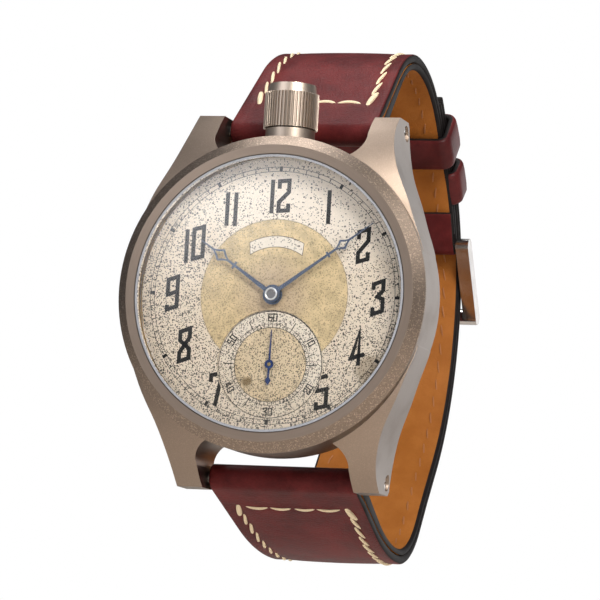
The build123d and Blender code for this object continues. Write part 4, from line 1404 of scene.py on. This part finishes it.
@dataclass
class Dial:
    """Printed main dial, sub-dial and hands."""

    wardrobe: Wardrobe
    repeats: Repeats
    face_y: float = -8.0
    sub_y: float = -7.82
    sub_centre: Point = (0.0, -10.0)
    track_outer: float = 18.62
    track_inner: float = 18.0
    numeral_size: Point = (1.8, 4.9)
    numeral_stroke: float = 0.6
    sub_edge: float = 7.92
    cap_radius: float = 0.8
    cap_bead: float = 0.13
    cap_y: float = -9.52
    numerals: tuple[tuple[int, float, float], ...] = (
        (1, 14.9, 0.0),
        (2, 14.9, 0.3),
        (3, 15.5, 0.36),
        (4, 14.9, 0.3),
        (5, 15.9, 0.25),
        (7, 15.9, 0.25),
        (8, 15.0, 0.36),
        (9, 15.3, 0.36),
        (10, 14.4, 0.3),
        (11, 14.3, 0.0),
        (12, 14.4, 0.08),
    )

    def build(self) -> None:
        """Dress the dial nodes and print their markings."""
        dress("dial", self.wardrobe.get("aged_dial"))
        dress("seconds_dial", self.wardrobe.get("aged_sub_dial"))
        for node, finish in (
                ("hour_hand", "blued_hands"), ("minute_hand", "blued_hands"), ("seconds_hand", "deep_blue")
        ):
            dress(node, self.wardrobe.get(finish))
        self._numerals()
        self._tracks()
        self._bars("minute_marks", 60, 18.31, 0.62, 0.11, self.face_y, (0.0, 0.0))
        self._bars("hour_marks", 12, 18.33, 0.74, 0.44, self.face_y, (0.0, 0.0), 0.02)
        self._bars("second_marks", 60, 5.62, 0.5, 0.07, self.sub_y, self.sub_centre)
        self._bars("ten_second_marks", 6, 6.35, 1.25, 0.13, self.sub_y, self.sub_centre, 0.02)
        self._cartouche()
        self._cap_rim()

    def _cap_rim(self) -> None:
        """Turn the bright rounded rim of the cap that holds the hands."""
        builder = bmesh.new()
        rings = []
        for index in range(64):
            turn = math.tau * index / 64
            ring = []
            for step in range(12):
                lean = math.tau * step / 12
                reach = self.cap_radius + self.cap_bead * math.cos(lean)
                place = (
                    reach * math.sin(turn) * MM, (self.cap_y + self.cap_bead * math.sin(lean)) * MM,
                    reach * math.cos(turn) * MM
                )
                ring.append(builder.verts.new(place))
            rings.append(ring)
        for index, ring in enumerate(rings):
            following = rings[(index + 1) % 64]
            for step in range(12):
                after = (step + 1) % 12
                builder.faces.new((ring[step], ring[after], following[after], following[step]))
        mesh = finish_mesh(builder, "hand_cap_rim")
        piece = make_object("hand_cap_rim", mesh, [self.wardrobe.get("cap_steel")])
        settle(piece, "centre_and_minute_hand")

    def _numerals(self) -> None:
        """Print the hour numbers upright; the sub-dial takes the 6."""
        ink = InkBuilder(self.face_y, clear=(*self.sub_centre, self.sub_edge))
        for hour, radius, slope in self.numerals:
            ink.text(str(hour), clock(radius, hour * 30), self.numeral_size, self.numeral_stroke, slope=slope)
        piece = make_object("hour_numbers", ink.build("hour_numbers"), [self.wardrobe.get("dial_ink")])
        settle(piece, "case")

    def _tracks(self) -> None:
        """Print the minute track, the sub-dial rings and the sub-dial numbers."""
        ink = InkBuilder(self.face_y, 0.012)
        for radius in (self.track_outer, self.track_inner):
            ink.ring(radius, 0.07)
        piece = make_object("minute_track", ink.build("minute_track"), [self.wardrobe.get("dial_ink")])
        settle(piece, "case")
        ink = InkBuilder(self.sub_y, 0.012)
        for radius, width in ((5.36, 0.06), (5.88, 0.06), (7.7, 0.09)):
            ink.ring(radius, width, self.sub_centre)
        for second in range(10, 70, 10):
            degrees = second * 6
            turn = degrees if math.cos(math.radians(degrees)) > -0.2 else degrees - 180
            if second == 30:
                turn = 0
            ink.text(str(second), clock(6.8, degrees, self.sub_centre), (0.6, 1.12), 0.16, turn)
        piece = make_object("sub_dial_print", ink.build("sub_dial_print"), [self.wardrobe.get("dial_ink")])
        settle(piece, "case")

    def _bars(
            self, name: str, count: int, radius: float, length: float, width: float, face_y: float,
            at: Point, lift: float = 0.016
    ) -> None:
        """Set a ring of radial marks with geometry nodes.

        Args:
            name: The piece's name.
            count: Number of marks.
            radius: Middle radius in mm.
            length: Radial length in mm.
            width: Width in mm.
            face_y: Dial surface in mm.
            at: Centre (x, z) in mm.
            lift: Ink thickness in mm.
        """
        thing = make_object(name, bpy.data.meshes.new(name), [])
        place = (at[0] * MM, (face_y - lift / 2) * MM, at[1] * MM)
        values = {
            "Count": count, "Radius": radius * MM, "Length": length * MM, "Width": width * MM,
            "Height": lift * MM
        }
        self.repeats.apply(
            thing, self.repeats.dial_bars, Place=place, Ink=self.wardrobe.get("dial_ink"), **values
        )
        settle(thing, "case")

    def _cartouche(self) -> None:
        """Set the blank arched name plate above the centre."""
        plate = InkBuilder(self.face_y, 0.02)
        inner, outer = [], []
        for index in range(41):
            share = index / 20 - 1
            inner.append(clock(7.0, 34.0 * share))
            outer.append(clock(8.6, 28.3 * share))
        plate.strip(inner, outer)
        piece = make_object("name_plate", plate.build("name_plate"), [self.wardrobe.get("aged_plate")])
        settle(piece, "case")
        line = InkBuilder(self.face_y - 0.02, 0.008)
        border = inner + outer[::-1]
        line.strip(*stroke(border + border[:1], 0.09))
        piece = make_object(
            "name_plate_line", line.build("name_plate_line"), [self.wardrobe.get("brown_ink")]
        )
        settle(piece, "case")


# --- strap -------------------------------------------------------------------------------
@dataclass(frozen=True)
class StrapStation:
    """One place along a strap: surface point, heading and half-width, in mm."""

    s: float
    y: float
    z: float
    turn: float
    half: float

    def point(self, x: float, depth: float, flip: int) -> Vector:
        """Return the place at a width and a depth below the outer surface, in metres."""
        y = self.y + depth * math.sin(self.turn)
        z = self.z - depth * math.cos(self.turn)
        return Vector((x * MM, y * MM, flip * z * MM))


@dataclass
class StrapPath:
    """The outer surface of one strap half in side view, as lines and arcs."""

    angle: float
    steps: Sequence[tuple[float, ...]]
    bar: Point = (2.7, 25.6)
    roll: float = 1.95
    widths: Sequence[Point] = ((-3.0, 11.15), (2.0, 11.15), (30.0, 10.05), (48.0, 9.6), (75.0, 9.5))

    def at(self, s: float) -> StrapStation:
        """Return the station at an arc length; before 0 it rounds the bar.

        Args:
            s: Arc length in mm.

        Returns:
            The station.
        """
        turn = math.radians(self.angle)
        if s < 0:
            now = turn - s / self.roll
            return self._station(
                s, self.bar[0] - self.roll * math.sin(now), self.bar[1] + self.roll * math.cos(now), now
            )
        y = self.bar[0] - self.roll * math.sin(turn)
        z = self.bar[1] + self.roll * math.cos(turn)
        left = s
        for step in self.steps:
            if len(step) == 1:
                part = min(left, step[0])
                y += part * math.cos(turn)
                z += part * math.sin(turn)
            else:
                radius, sweep = step[0], math.radians(step[1])
                part = min(left, radius * sweep)
                now = turn - part / radius
                y += radius * (math.sin(turn) - math.sin(now))
                z += radius * (math.cos(now) - math.cos(turn))
                turn = now
            left -= part
            if left <= 1e-9:
                break
        return self._station(s, y, z, turn)

    def length(self) -> float:
        """Return the whole length from the bar to the end."""
        return sum(step[0] if len(step) == 1 else step[0] * math.radians(step[1]) for step in self.steps)

    def _station(self, s: float, y: float, z: float, turn: float) -> StrapStation:
        """Return a station with its half-width read from the taper."""
        half = self.widths[-1][1]
        for low, high in zip(self.widths, self.widths[1:]):
            if y <= high[0]:
                half = low[1] + (high[1] - low[1]) * max(0.0, (y - low[0]) / (high[0] - low[0]))
                break
        return StrapStation(s, y, z, turn, half)


def strap_thickness(s: float) -> float:
    """Return the full strap thickness in mm at an arc length."""
    return THICK_END + THICK_EXTRA * max(0.0, 1 - s / TAPER_LENGTH) ** 1.5


@dataclass(frozen=True)
class Thread:
    """Size of one visible stitch in mm, and its finish."""

    length: float
    radius: float
    bow: float = 0.0
    finish: str = "cream_thread"


@dataclass
class StrapHalf:
    """One half of the strap: leather, lining, painted edges and stitches."""

    name: str
    path: StrapPath
    flip: int
    end: float
    wardrobe: Wardrobe
    repeats: Repeats
    folded_end: bool
    leather: float = 1.4
    stitch_inset: float = 2.3
    stitch_pitch: float = 3.2
    first_stitch: float = 7.0
    cross_row: float = 5.3
    slant: float = 0.2
    rows: float = 0.4

    def build(self) -> None:
        """Build both layers and their stitches."""
        side = "upper" if self.flip > 0 else "lower"
        outer = self._outer()
        settle(outer, "case", [f"strap_{side}_leather"])
        lining = self._lining()
        settle(lining, "case", [f"strap_{side}_lining"])
        self._stitches()

    def _sweep(
            self, name: str, sections: list[list[Vector]], paint: Callable[[int], int],
            materials: list[bpy.types.Material]
    ) -> bpy.types.Object:
        """Skin closed cross-sections into one object.

        Args:
            name: The object's name.
            sections: Closed loops of equal length.
            paint: Gives a face's material from its place in the loop.
            materials: The materials in slot order.

        Returns:
            The new object.
        """
        builder = bmesh.new()
        loops = [[builder.verts.new(point) for point in section] for section in sections]
        count = len(loops[0])
        for first, second in zip(loops, loops[1:]):
            for index in range(count):
                after = (index + 1) % count
                face = builder.faces.new((first[index], first[after], second[after], second[index]))
                face.material_index = paint(index)
        for loop in (loops[0], loops[-1]):
            face = builder.faces.new(loop)
            face.material_index = 1
        mesh = finish_mesh(builder, name)
        return make_object(name, mesh, materials)

    def _outline(
            self, half: float, top: Callable[[float], float], bottom: Callable[[float], float],
            round_top: float
    ) -> list[Point]:
        """Return a closed cross-section as (x, depth) pairs.

        Args:
            half: Half-width in mm.
            top: Depth of the outer face at x.
            bottom: Depth of the inner face at x.
            round_top: Radius of the outer corners in mm.

        Returns:
            The loop, outer face first from -x to +x.
        """
        inset = half - self.stitch_inset
        flat = [-inset - 0.45, -inset - 0.2, -inset, -inset + 0.2, -inset + 0.45]
        marks = flat + [-inset * t for t in (0.75, 0.5, 0.25)] + [0.0]
        xs = marks + [-x for x in reversed(marks[:-1])]
        loop = [
            (
                -half + round_top * (1 - math.cos(math.pi / 2 * i / 4)),
                top(half) + round_top * (1 - math.sin(math.pi / 2 * i / 4))
            )
            for i in range(5)
        ]
        loop += [(x, top(x)) for x in xs]
        loop += [(-x, depth) for x, depth in reversed(loop[:5])]
        base = [(half, bottom(half) - 0.3), (half - 0.4, bottom(half))]
        loop += base + [(0.0, bottom(0.0))] + [(-x, depth) for x, depth in reversed(base)]
        return loop

    def _outer(self) -> bpy.types.Object:
        """Build the outer leather with its crown, grooves and rolled ends."""
        sections = []
        start = -self.path.roll * math.radians(200)
        count = int((self.end - start) / self.rows)
        for index in range(count + 1):
            s = start + (self.end - start) * index / count
            station = self.path.at(s)
            thick = 0.98 if s < 0 else 0.98 + (self.leather - 0.98) * min(1.0, s / 5)
            fade = min(1.0, max(0.0, (s - 4.5) / 2.0))
            sections.append(self._section(station, thick, fade))
        if self.folded_end:
            sections += self._fold()
        materials = [self.wardrobe.get("burgundy_leather"), self.wardrobe.get("edge_paint")]
        return self._sweep(f"{self.name}_leather_skin", sections, self._paint_outer, materials)

    def _section(self, station: StrapStation, thick: float, fade: float) -> list[Vector]:
        """Return one leather cross-section in metres."""
        inset = station.half - self.stitch_inset
        crown = 0.16 * fade

        def top(x: float) -> float:
            """Depth of the outer face."""
            groove = 0.2 * fade * math.exp(-(((abs(x) - inset) / 0.3) ** 2))
            bulge = -crown * max(0.0, 1 - (x / max(inset, 0.1)) ** 2)
            return groove + bulge

        loop = self._outline(station.half, top, lambda x: thick, min(0.4, thick * 0.4))
        return [station.point(x, depth, self.flip) for x, depth in loop]

    def _fold(self) -> list[list[Vector]]:
        """Return the sections that wrap the buckle bar and come back inside."""
        sections = []
        station = self.path.at(self.end)
        radius = 1.4
        centre_y = station.y + radius * math.sin(station.turn)
        centre_z = station.z - radius * math.cos(station.turn)
        for index in range(1, 13):
            now = station.turn - math.pi * index / 12
            turned = StrapStation(
                self.end, centre_y - radius * math.sin(now), centre_z + radius * math.cos(now), now,
                station.half
            )
            sections.append(self._section(turned, 0.6, 0.0))
        for index in range(1, 17):
            back = self.path.at(self.end - index * 0.4)
            depth = 2.8 + (0.35 if index > 3 else 0.1 * index)
            place = back.point(0.0, depth, 1)
            turned = StrapStation(back.s, place.y / MM, place.z / MM, back.turn - math.pi, back.half)
            sections.append(self._section(turned, 0.6, 0.0))
        return sections

    def _lining(self) -> bpy.types.Object:
        """Build the lining, thick and padded near the lugs."""
        sections = []
        start, stop = 2.4, self.end - (2.2 if self.folded_end else 0.02)
        count = int((stop - start) / self.rows)
        for index in range(count + 1):
            s = start + (stop - start) * index / count
            station = self.path.at(s)
            under = strap_thickness(s)
            top = self.leather + 0.03
            loop = self._outline(station.half, lambda x: top, lambda x: under, 0.05)
            sections.append([station.point(x, depth, self.flip) for x, depth in loop])
        materials = [self.wardrobe.get("tan_lining"), self.wardrobe.get("edge_paint")]
        return self._sweep(f"{self.name}_lining_skin", sections, self._paint_lining, materials)

    @staticmethod
    def _paint_outer(index: int) -> int:
        """Edge paint on the sides, leather elsewhere."""
        return 1 if index < 2 or 24 <= index <= 27 or index >= 30 else 0

    @staticmethod
    def _paint_lining(index: int) -> int:
        """Edge paint on the sides, lining elsewhere."""
        return 1 if index < 4 or 22 <= index <= 27 or index >= 30 else 0

    def _stitches(self) -> None:
        """Place the side rows and the cross row near the lugs."""
        first, later, inner = [], [], []
        s = self.first_stitch
        while s < self.end - 2.0:
            station = self.path.at(s)
            for side in (-1, 1):
                x = side * (station.half - self.stitch_inset)
                spot = self._spot(station, x, self.slant * side, False)
                (later if first and s > self.first_stitch else first).append(spot)
                inner.append(self._spot(station, x, -self.slant * side, False, strap_thickness(s)))
            s += self.stitch_pitch
        self._lay(f"{self.name}_first_stitches", first, Thread(4.5, 0.42))
        self._lay(f"{self.name}_side_stitches", later, Thread(4.6, 0.26))
        self._lay(f"{self.name}_lining_stitches", inner, Thread(2.4, 0.13, finish="worn_thread"))
        station = self.path.at(self.cross_row)
        cross = [self._spot(station, (index - 1.5) * 3.6, 0.0, True) for index in range(4)]
        self._lay(f"{self.name}_cross_stitches", cross, Thread(4.4, 0.34, bow=1.1))

    def _spot(
            self, station: StrapStation, x: float, slant: float, across: bool, under: float = 0.0
    ) -> tuple[Vector, Vector, Vector]:
        """Return a stitch's place, outward direction and run direction."""
        inward = Vector((0.0, math.sin(station.turn), -math.cos(station.turn) * self.flip))
        ahead = Vector((0.0, math.cos(station.turn), math.sin(station.turn) * self.flip))
        up = inward if under else -inward
        run = Vector((float(self.flip), 0.0, 0.0)) if across else (
            ahead + Vector((slant, 0.0, 0.0))
        ).normalized()
        depth = under + 0.02 if under else 0.12
        return station.point(x, depth, self.flip), up, run

    def _lay(self, name: str, spots: list[tuple[Vector, Vector, Vector]], thread: "Thread") -> None:
        """Lay stitches on a list of places with geometry nodes.

        Args:
            name: The piece's name.
            spots: Place, outward direction and run direction of each.
            thread: The stitch's size and finish.
        """
        mesh = bpy.data.meshes.new(name)
        mesh.from_pydata([tuple(spot[0]) for spot in spots], [], [])
        for label, slot_index in (("up", 1), ("along", 2)):
            layer = mesh.attributes.new(label, "FLOAT_VECTOR", "POINT")
            for index, spot in enumerate(spots):
                layer.data[index].vector = spot[slot_index]
        thing = make_object(name, mesh, [])
        values = {
            "Length": thread.length * MM, "Thickness": thread.radius * MM, "Puff": 0.2 * MM,
            "Bow": thread.bow * MM, "Seed": 11
        }
        self.repeats.apply(thing, self.repeats.stitches, Thread=self.wardrobe.get(thread.finish), **values)
        settle(thing, "case")


@dataclass
class Keeper:
    """A leather loop that holds the strap tail down."""

    node: str
    body: str
    s: float
    inner_half: float
    stack_in: float
    stack_out: float
    path: StrapPath
    wardrobe: Wardrobe
    width: float = 5.6
    thick: float = 1.2

    def build(self) -> None:
        """Build the loop with soft corners and a domed outer face."""
        station = self.path.at(self.s)
        builder = bmesh.new()
        loops = []
        low, high = -self.stack_in - self.thick / 2, self.stack_out + self.thick / 2
        half = self.inner_half + self.thick / 2
        outline = self._rounded(half, low, high, 1.3)
        count = len(outline)
        for index, (x, lift) in enumerate(outline):
            before, after = outline[index - 1], outline[(index + 1) % count]
            tangent = Vector((after[0] - before[0], after[1] - before[1])).normalized()
            normal = Vector((tangent.y, -tangent.x))
            loop = []
            for across, out in self._strip_profile():
                px, pl = x + normal.x * out, lift + normal.y * out
                loop.append(builder.verts.new(self._place(station, px, pl, across)))
            loops.append(loop)
        size = len(loops[0])
        for index in range(count):
            first, second = loops[index], loops[(index + 1) % count]
            for step in range(size):
                after = (step + 1) % size
                face = builder.faces.new((first[step], first[after], second[after], second[step]))
                face.material_index = 1 if step in (0, 8, 9, 10, 11) else 0
        mesh = finish_mesh(builder, f"{self.node}_skin")
        piece = make_object(
            f"{self.node}_skin", mesh,
            [self.wardrobe.get("keeper_leather"), self.wardrobe.get("edge_paint")]
        )
        settle(piece, self.body, [self.node])

    def _strip_profile(self) -> list[Point]:
        """Return the strip's cross-section as (across, outward) pairs."""
        half, reach = self.width / 2, self.thick / 2
        profile = [
            (-half, -reach * 0.6), (-half, reach * 0.2), (-half + 0.15, reach * 0.75), (-half + 0.5, reach)
        ]
        profile += [(-half * 0.4, reach * 1.15), (half * 0.4, reach * 1.15)]
        profile += [
            (half - 0.5, reach), (half - 0.15, reach * 0.75), (half, reach * 0.2), (half, -reach * 0.6)
        ]
        return profile + [(half - 0.2, -reach), (-half + 0.2, -reach)]

    @staticmethod
    def _rounded(half: float, low: float, high: float, radius: float) -> list[Point]:
        """Return a rounded rectangle as points."""
        points: list[Point] = []
        corners = [(half, high, 0), (-half, high, 90), (-half, low, 180), (half, low, 270)]
        for x, lift, start in corners:
            cx = x - math.copysign(radius, x)
            cl = lift - radius if lift == high else lift + radius
            for index in range(9):
                turn = math.radians(start + index * 90 / 8)
                points.append((cx + radius * math.cos(turn), cl + radius * math.sin(turn)))
        return points

    @staticmethod
    def _place(station: StrapStation, x: float, lift: float, across: float) -> Vector:
        """Return a point given across, above and along the strap, in metres."""
        y = station.y - lift * math.sin(station.turn) + across * math.cos(station.turn)
        z = station.z + lift * math.cos(station.turn) + across * math.sin(station.turn)
        return Vector((x * MM, y * MM, z * MM))


# --- metal parts ---------------------------------------------------------------------------
@dataclass
class CaseSet:
    """Case, crystal, crown, lug hardware and buckle."""

    wardrobe: Wardrobe
    finishes: dict[str, str] = field(
        default_factory=lambda: {
            "case_middle": "blasted_titanium",
            "bezel": "bezel_titanium",
            "case_back_ring": "turned_titanium",
            "crown_tube": "knurled_titanium",
            "crown": "knurled_titanium",
            "strap_bar_screws": "polished_steel",
            "strap_bar_upper": "satin_steel",
            "strap_bar_lower": "satin_steel",
            "crystal": "crystal_glass",
            "case_back_crystal": "crystal_glass",
            "crystal_gasket": "crystal_seal",
            "back_gasket": "seal_rubber",
            "crown_gasket": "seal_rubber",
            "movement_ring": "gilt_brass",
            "buckle_bar": "polished_steel",
            "buckle_frame": "buckle_steel",
            "buckle_tongue": "buckle_steel",
        }
    )

    def build(self) -> None:
        """Dress every node of the set."""
        for node, finish in self.finishes.items():
            dress(node, self.wardrobe.get(finish))


@dataclass
class Movement:
    """Plates, wheels, jewels and screws seen through the display back."""

    wardrobe: Wardrobe
    finishes: dict[str, str] = field(
        default_factory=lambda: {
            "main_plate": "plain_nickel",
            "barrel_bridge": "striped_nickel",
            "train_bridge": "striped_nickel",
            "pallet_bridge": "plain_nickel",
            "balance_cock": "striped_nickel",
            "mainspring_barrel": "gilt_brass",
            "barrel_cover": "gilt_brass",
            "mainspring": "blued_steel",
            "barrel_arbor": "polished_steel",
            "ratchet_wheel": "snailed_ratchet",
            "crown_wheel": "snailed_crown_wheel",
            "crown_wheel_screw": "blued_steel",
            "click": "polished_steel",
            "click_screw": "blued_steel",
            "centre_wheel": "gilt_brass",
            "third_wheel": "gilt_brass",
            "fourth_wheel": "gilt_brass",
            "escape_wheel": "polished_steel",
            "pallet_fork": "polished_steel",
            "balance_wheel": "gilt_balance",
            "balance_staff": "polished_steel",
            "hairspring": "blued_steel",
            "regulator": "polished_steel",
            "jewels": "ruby",
            "jewel_settings": "gilt_brass",
            "plate_screws": "blued_steel",
            "minute_wheel": "gilt_brass",
            "hour_wheel": "gilt_brass",
            "cannon_pinion": "bright_steel",
            "motion_post": "polished_steel",
            "winding_stem": "satin_steel",
            "winding_pinion": "satin_steel",
        }
    )

    def build(self) -> None:
        """Dress every node of the movement."""
        for node, finish in self.finishes.items():
            dress(node, self.wardrobe.get(finish))


# --- studio -----------------------------------------------------------------------------------
@dataclass
class SoftLight:
    """One soft box aimed at the watch."""

    name: str
    place: tuple[float, float, float]
    size: tuple[float, float]
    power: float
    colour: Colour = (1.0, 1.0, 1.0)
    feather: float = 2.6

    def build(self, target: Vector) -> None:
        """Create the light.

        Args:
            target: The point it faces.
        """
        data = bpy.data.lights.new(self.name, "AREA")
        data.shape = "RECTANGLE"
        data.size, data.size_y = self.size
        data.energy = self.power
        data.color = self.colour
        data.use_nodes = True
        graph = Graph(data.node_tree)
        emission = next(node for node in data.node_tree.nodes if node.type == "EMISSION")
        place = graph.add("ShaderNodeNewGeometry").outputs["Parametric"]
        middle = graph.vector("SUBTRACT", place, (0.5, 0.5, 0.0))
        reach = graph.add("ShaderNodeVectorMath", {"operation": "LENGTH"}, i0=middle).outputs["Value"]
        glow = graph.minus(1.0, graph.ramp(reach, 0.1, 0.5))
        data.node_tree.links.new(graph.times(glow, self.feather), emission.inputs["Strength"])
        thing = bpy.data.objects.new(self.name, data)
        thing.location = self.place
        thing.visible_camera = False
        thing.rotation_euler = (target - Vector(self.place)).to_track_quat("-Z", "Y").to_euler()
        bpy.context.scene.collection.objects.link(thing)


@dataclass
class Studio:
    """Pale floor, soft lights, plain surroundings and the camera."""

    azimuth: float = 0.292
    elevation: float = -0.1226
    roll: float = 0.0594
    distance: float = 600.0
    scale: float = 6.971
    shift: Point = (-29.5, 6.35)
    focus_y: float = -10.1
    floor_z: float = -0.115
    floor_reach: float = 3.0
    floor_reflected: Colour = (0.74, 0.67, 0.60)
    floor_seen: Colour = (0.12, 0.12, 0.12)
    floor_glow: float = 0.08
    floor_seen_glow: float = 0.82
    world_glow: float = 0.14
    sensor: float = 36.0
    frame_width: float = 600.0

    def build(self) -> None:
        """Build the floor, lights, world and camera."""
        self._floor()
        self._world()
        target = Vector((0.0, -0.005, 0.0))
        lights = [
            SoftLight("key", (0.30, -0.36, 0.30), (0.34, 0.34), 4.3, (1.0, 0.97, 0.93)),
            SoftLight("veil", (-0.36, -0.58, 0.34), (0.80, 0.80), 2.0, (0.95, 0.96, 1.0)),
            SoftLight("top", (-0.10, 0.05, 0.60), (0.60, 0.35), 2.2),
            SoftLight("backdrop", (0.22, 0.80, 0.10), (1.0, 0.7), 1.05),
        ]
        for light in lights:
            light.build(target)
        bpy.context.scene.view_settings.view_transform = "Standard"
        self._camera()

    def _floor(self) -> None:
        """Lay a floor that the camera sees pale and that reflections see dimmer."""
        far = self.floor_reach
        builder = bmesh.new()
        corners = [(-far, -far), (far, -far), (far, far), (-far, far)]
        builder.faces.new([builder.verts.new((x, y, self.floor_z)) for x, y in corners])
        mesh = bpy.data.meshes.new("floor")
        builder.to_mesh(mesh)
        builder.free()
        material, graph, shader = new_material("pale_floor")
        seen = graph.add("ShaderNodeLightPath").outputs["Is Camera Ray"]
        tint = graph.mix(seen, self.floor_reflected, self.floor_seen)
        graph.tree.links.new(tint, shader.inputs["Base Color"])
        glow = graph.math("MULTIPLY_ADD", seen, self.floor_seen_glow, self.floor_glow)
        graph.tree.links.new(glow, shader.inputs["Emission Strength"])
        shader.inputs["Roughness"].default_value = 0.7
        shader.inputs["Emission Color"].default_value = (1.0, 0.98, 0.96, 1.0)
        thing = make_object("floor", mesh, [material])

    def _world(self) -> None:
        """Surround the watch with even pale light."""
        world = bpy.data.worlds.new("studio")
        bpy.context.scene.world = world
        world.use_nodes = True
        graph = Graph(world.node_tree)
        backs = [node for node in world.node_tree.nodes if node.type == "BACKGROUND"]
        soft = backs[0]
        soft.inputs["Color"].default_value = (0.90, 0.93, 1.0, 1.0)
        soft.inputs["Strength"].default_value = self.world_glow
        white = graph.add("ShaderNodeBackground", Color=(1.0, 1.0, 1.0, 1.0), Strength=1.0)
        path = graph.add("ShaderNodeLightPath").outputs["Is Camera Ray"]
        both = graph.add("ShaderNodeMixShader", i0=path, i1=soft.outputs[0], i2=white.outputs[0])
        outlet = next(node for node in world.node_tree.nodes if node.type == "OUTPUT_WORLD")
        world.node_tree.links.new(both.outputs[0], outlet.inputs["Surface"])

    def _camera(self) -> None:
        """Place a long lens that looks along the fitted viewing angle."""
        a, e, roll = self.azimuth, self.elevation, self.roll
        right = Vector((math.cos(a), math.sin(a), 0.0))
        back = Vector((math.sin(a) * math.cos(e), -math.cos(a) * math.cos(e), math.sin(e)))
        up = back.cross(right)
        turned_right = right * math.cos(roll) + up * math.sin(roll)
        turned_up = up * math.cos(roll) - right * math.sin(roll)
        place = Vector((0.0, self.focus_y, 0.0)) + back * self.distance
        place -= turned_right * (self.shift[0] / self.scale)
        place -= turned_up * (self.shift[1] / self.scale)
        data = bpy.data.cameras.new("camera")
        data.sensor_width = self.sensor
        data.lens = self.scale * self.distance / self.frame_width * self.sensor
        data.clip_start = 0.01
        data.clip_end = 20.0
        thing = bpy.data.objects.new("camera", data)
        basis = Matrix((turned_right, turned_up, back)).transposed().to_4x4()
        thing.matrix_world = Matrix.Translation(place * MM) @ basis
        bpy.context.scene.collection.objects.link(thing)
        bpy.context.scene.camera = thing


def main() -> None:
    """Build the watch's looks in order."""
    logging.basicConfig(level=logging.INFO, format="%(message)s")
    wardrobe = Wardrobe(Effects())
    repeats = Repeats()
    CaseSet(wardrobe).build()
    Movement(wardrobe).build()
    Dial(wardrobe, repeats).build()
    tail_offset = 2.47
    upper = StrapPath(39.5, [(15.2,), (21.6, 39.5), (24.2, 43.0), (9.7,), (29.5, 47.0)])
    lower_steps = [
        (14.0,), (48.0, 20.5), (16.0, 50.0), (13.36,), (41.12, 40.0), (29.5 + tail_offset, 47.0), (9.7,),
        (24.2 + tail_offset, 5.0)
    ]
    lower = StrapPath(20.5, lower_steps)
    StrapHalf("upper", upper, 1, 71.5, wardrobe, repeats, True).build()
    StrapHalf("lower", lower, -1, lower.length(), wardrobe, repeats, False).build()
    sizes = {"s": 61.3, "inner_half": 9.85, "stack_in": 0.85, "stack_out": 2.82}
    Keeper("fixed_keeper", "case", path=upper, wardrobe=wardrobe, **sizes).build()
    sizes = {"s": 53.0, "inner_half": 9.95, "stack_in": 2.6, "stack_out": 2.77}
    Keeper("free_keeper", "free_keeper_body", path=upper, wardrobe=wardrobe, **sizes).build()
    Studio().build()


if __name__ == "__main__":
    main()
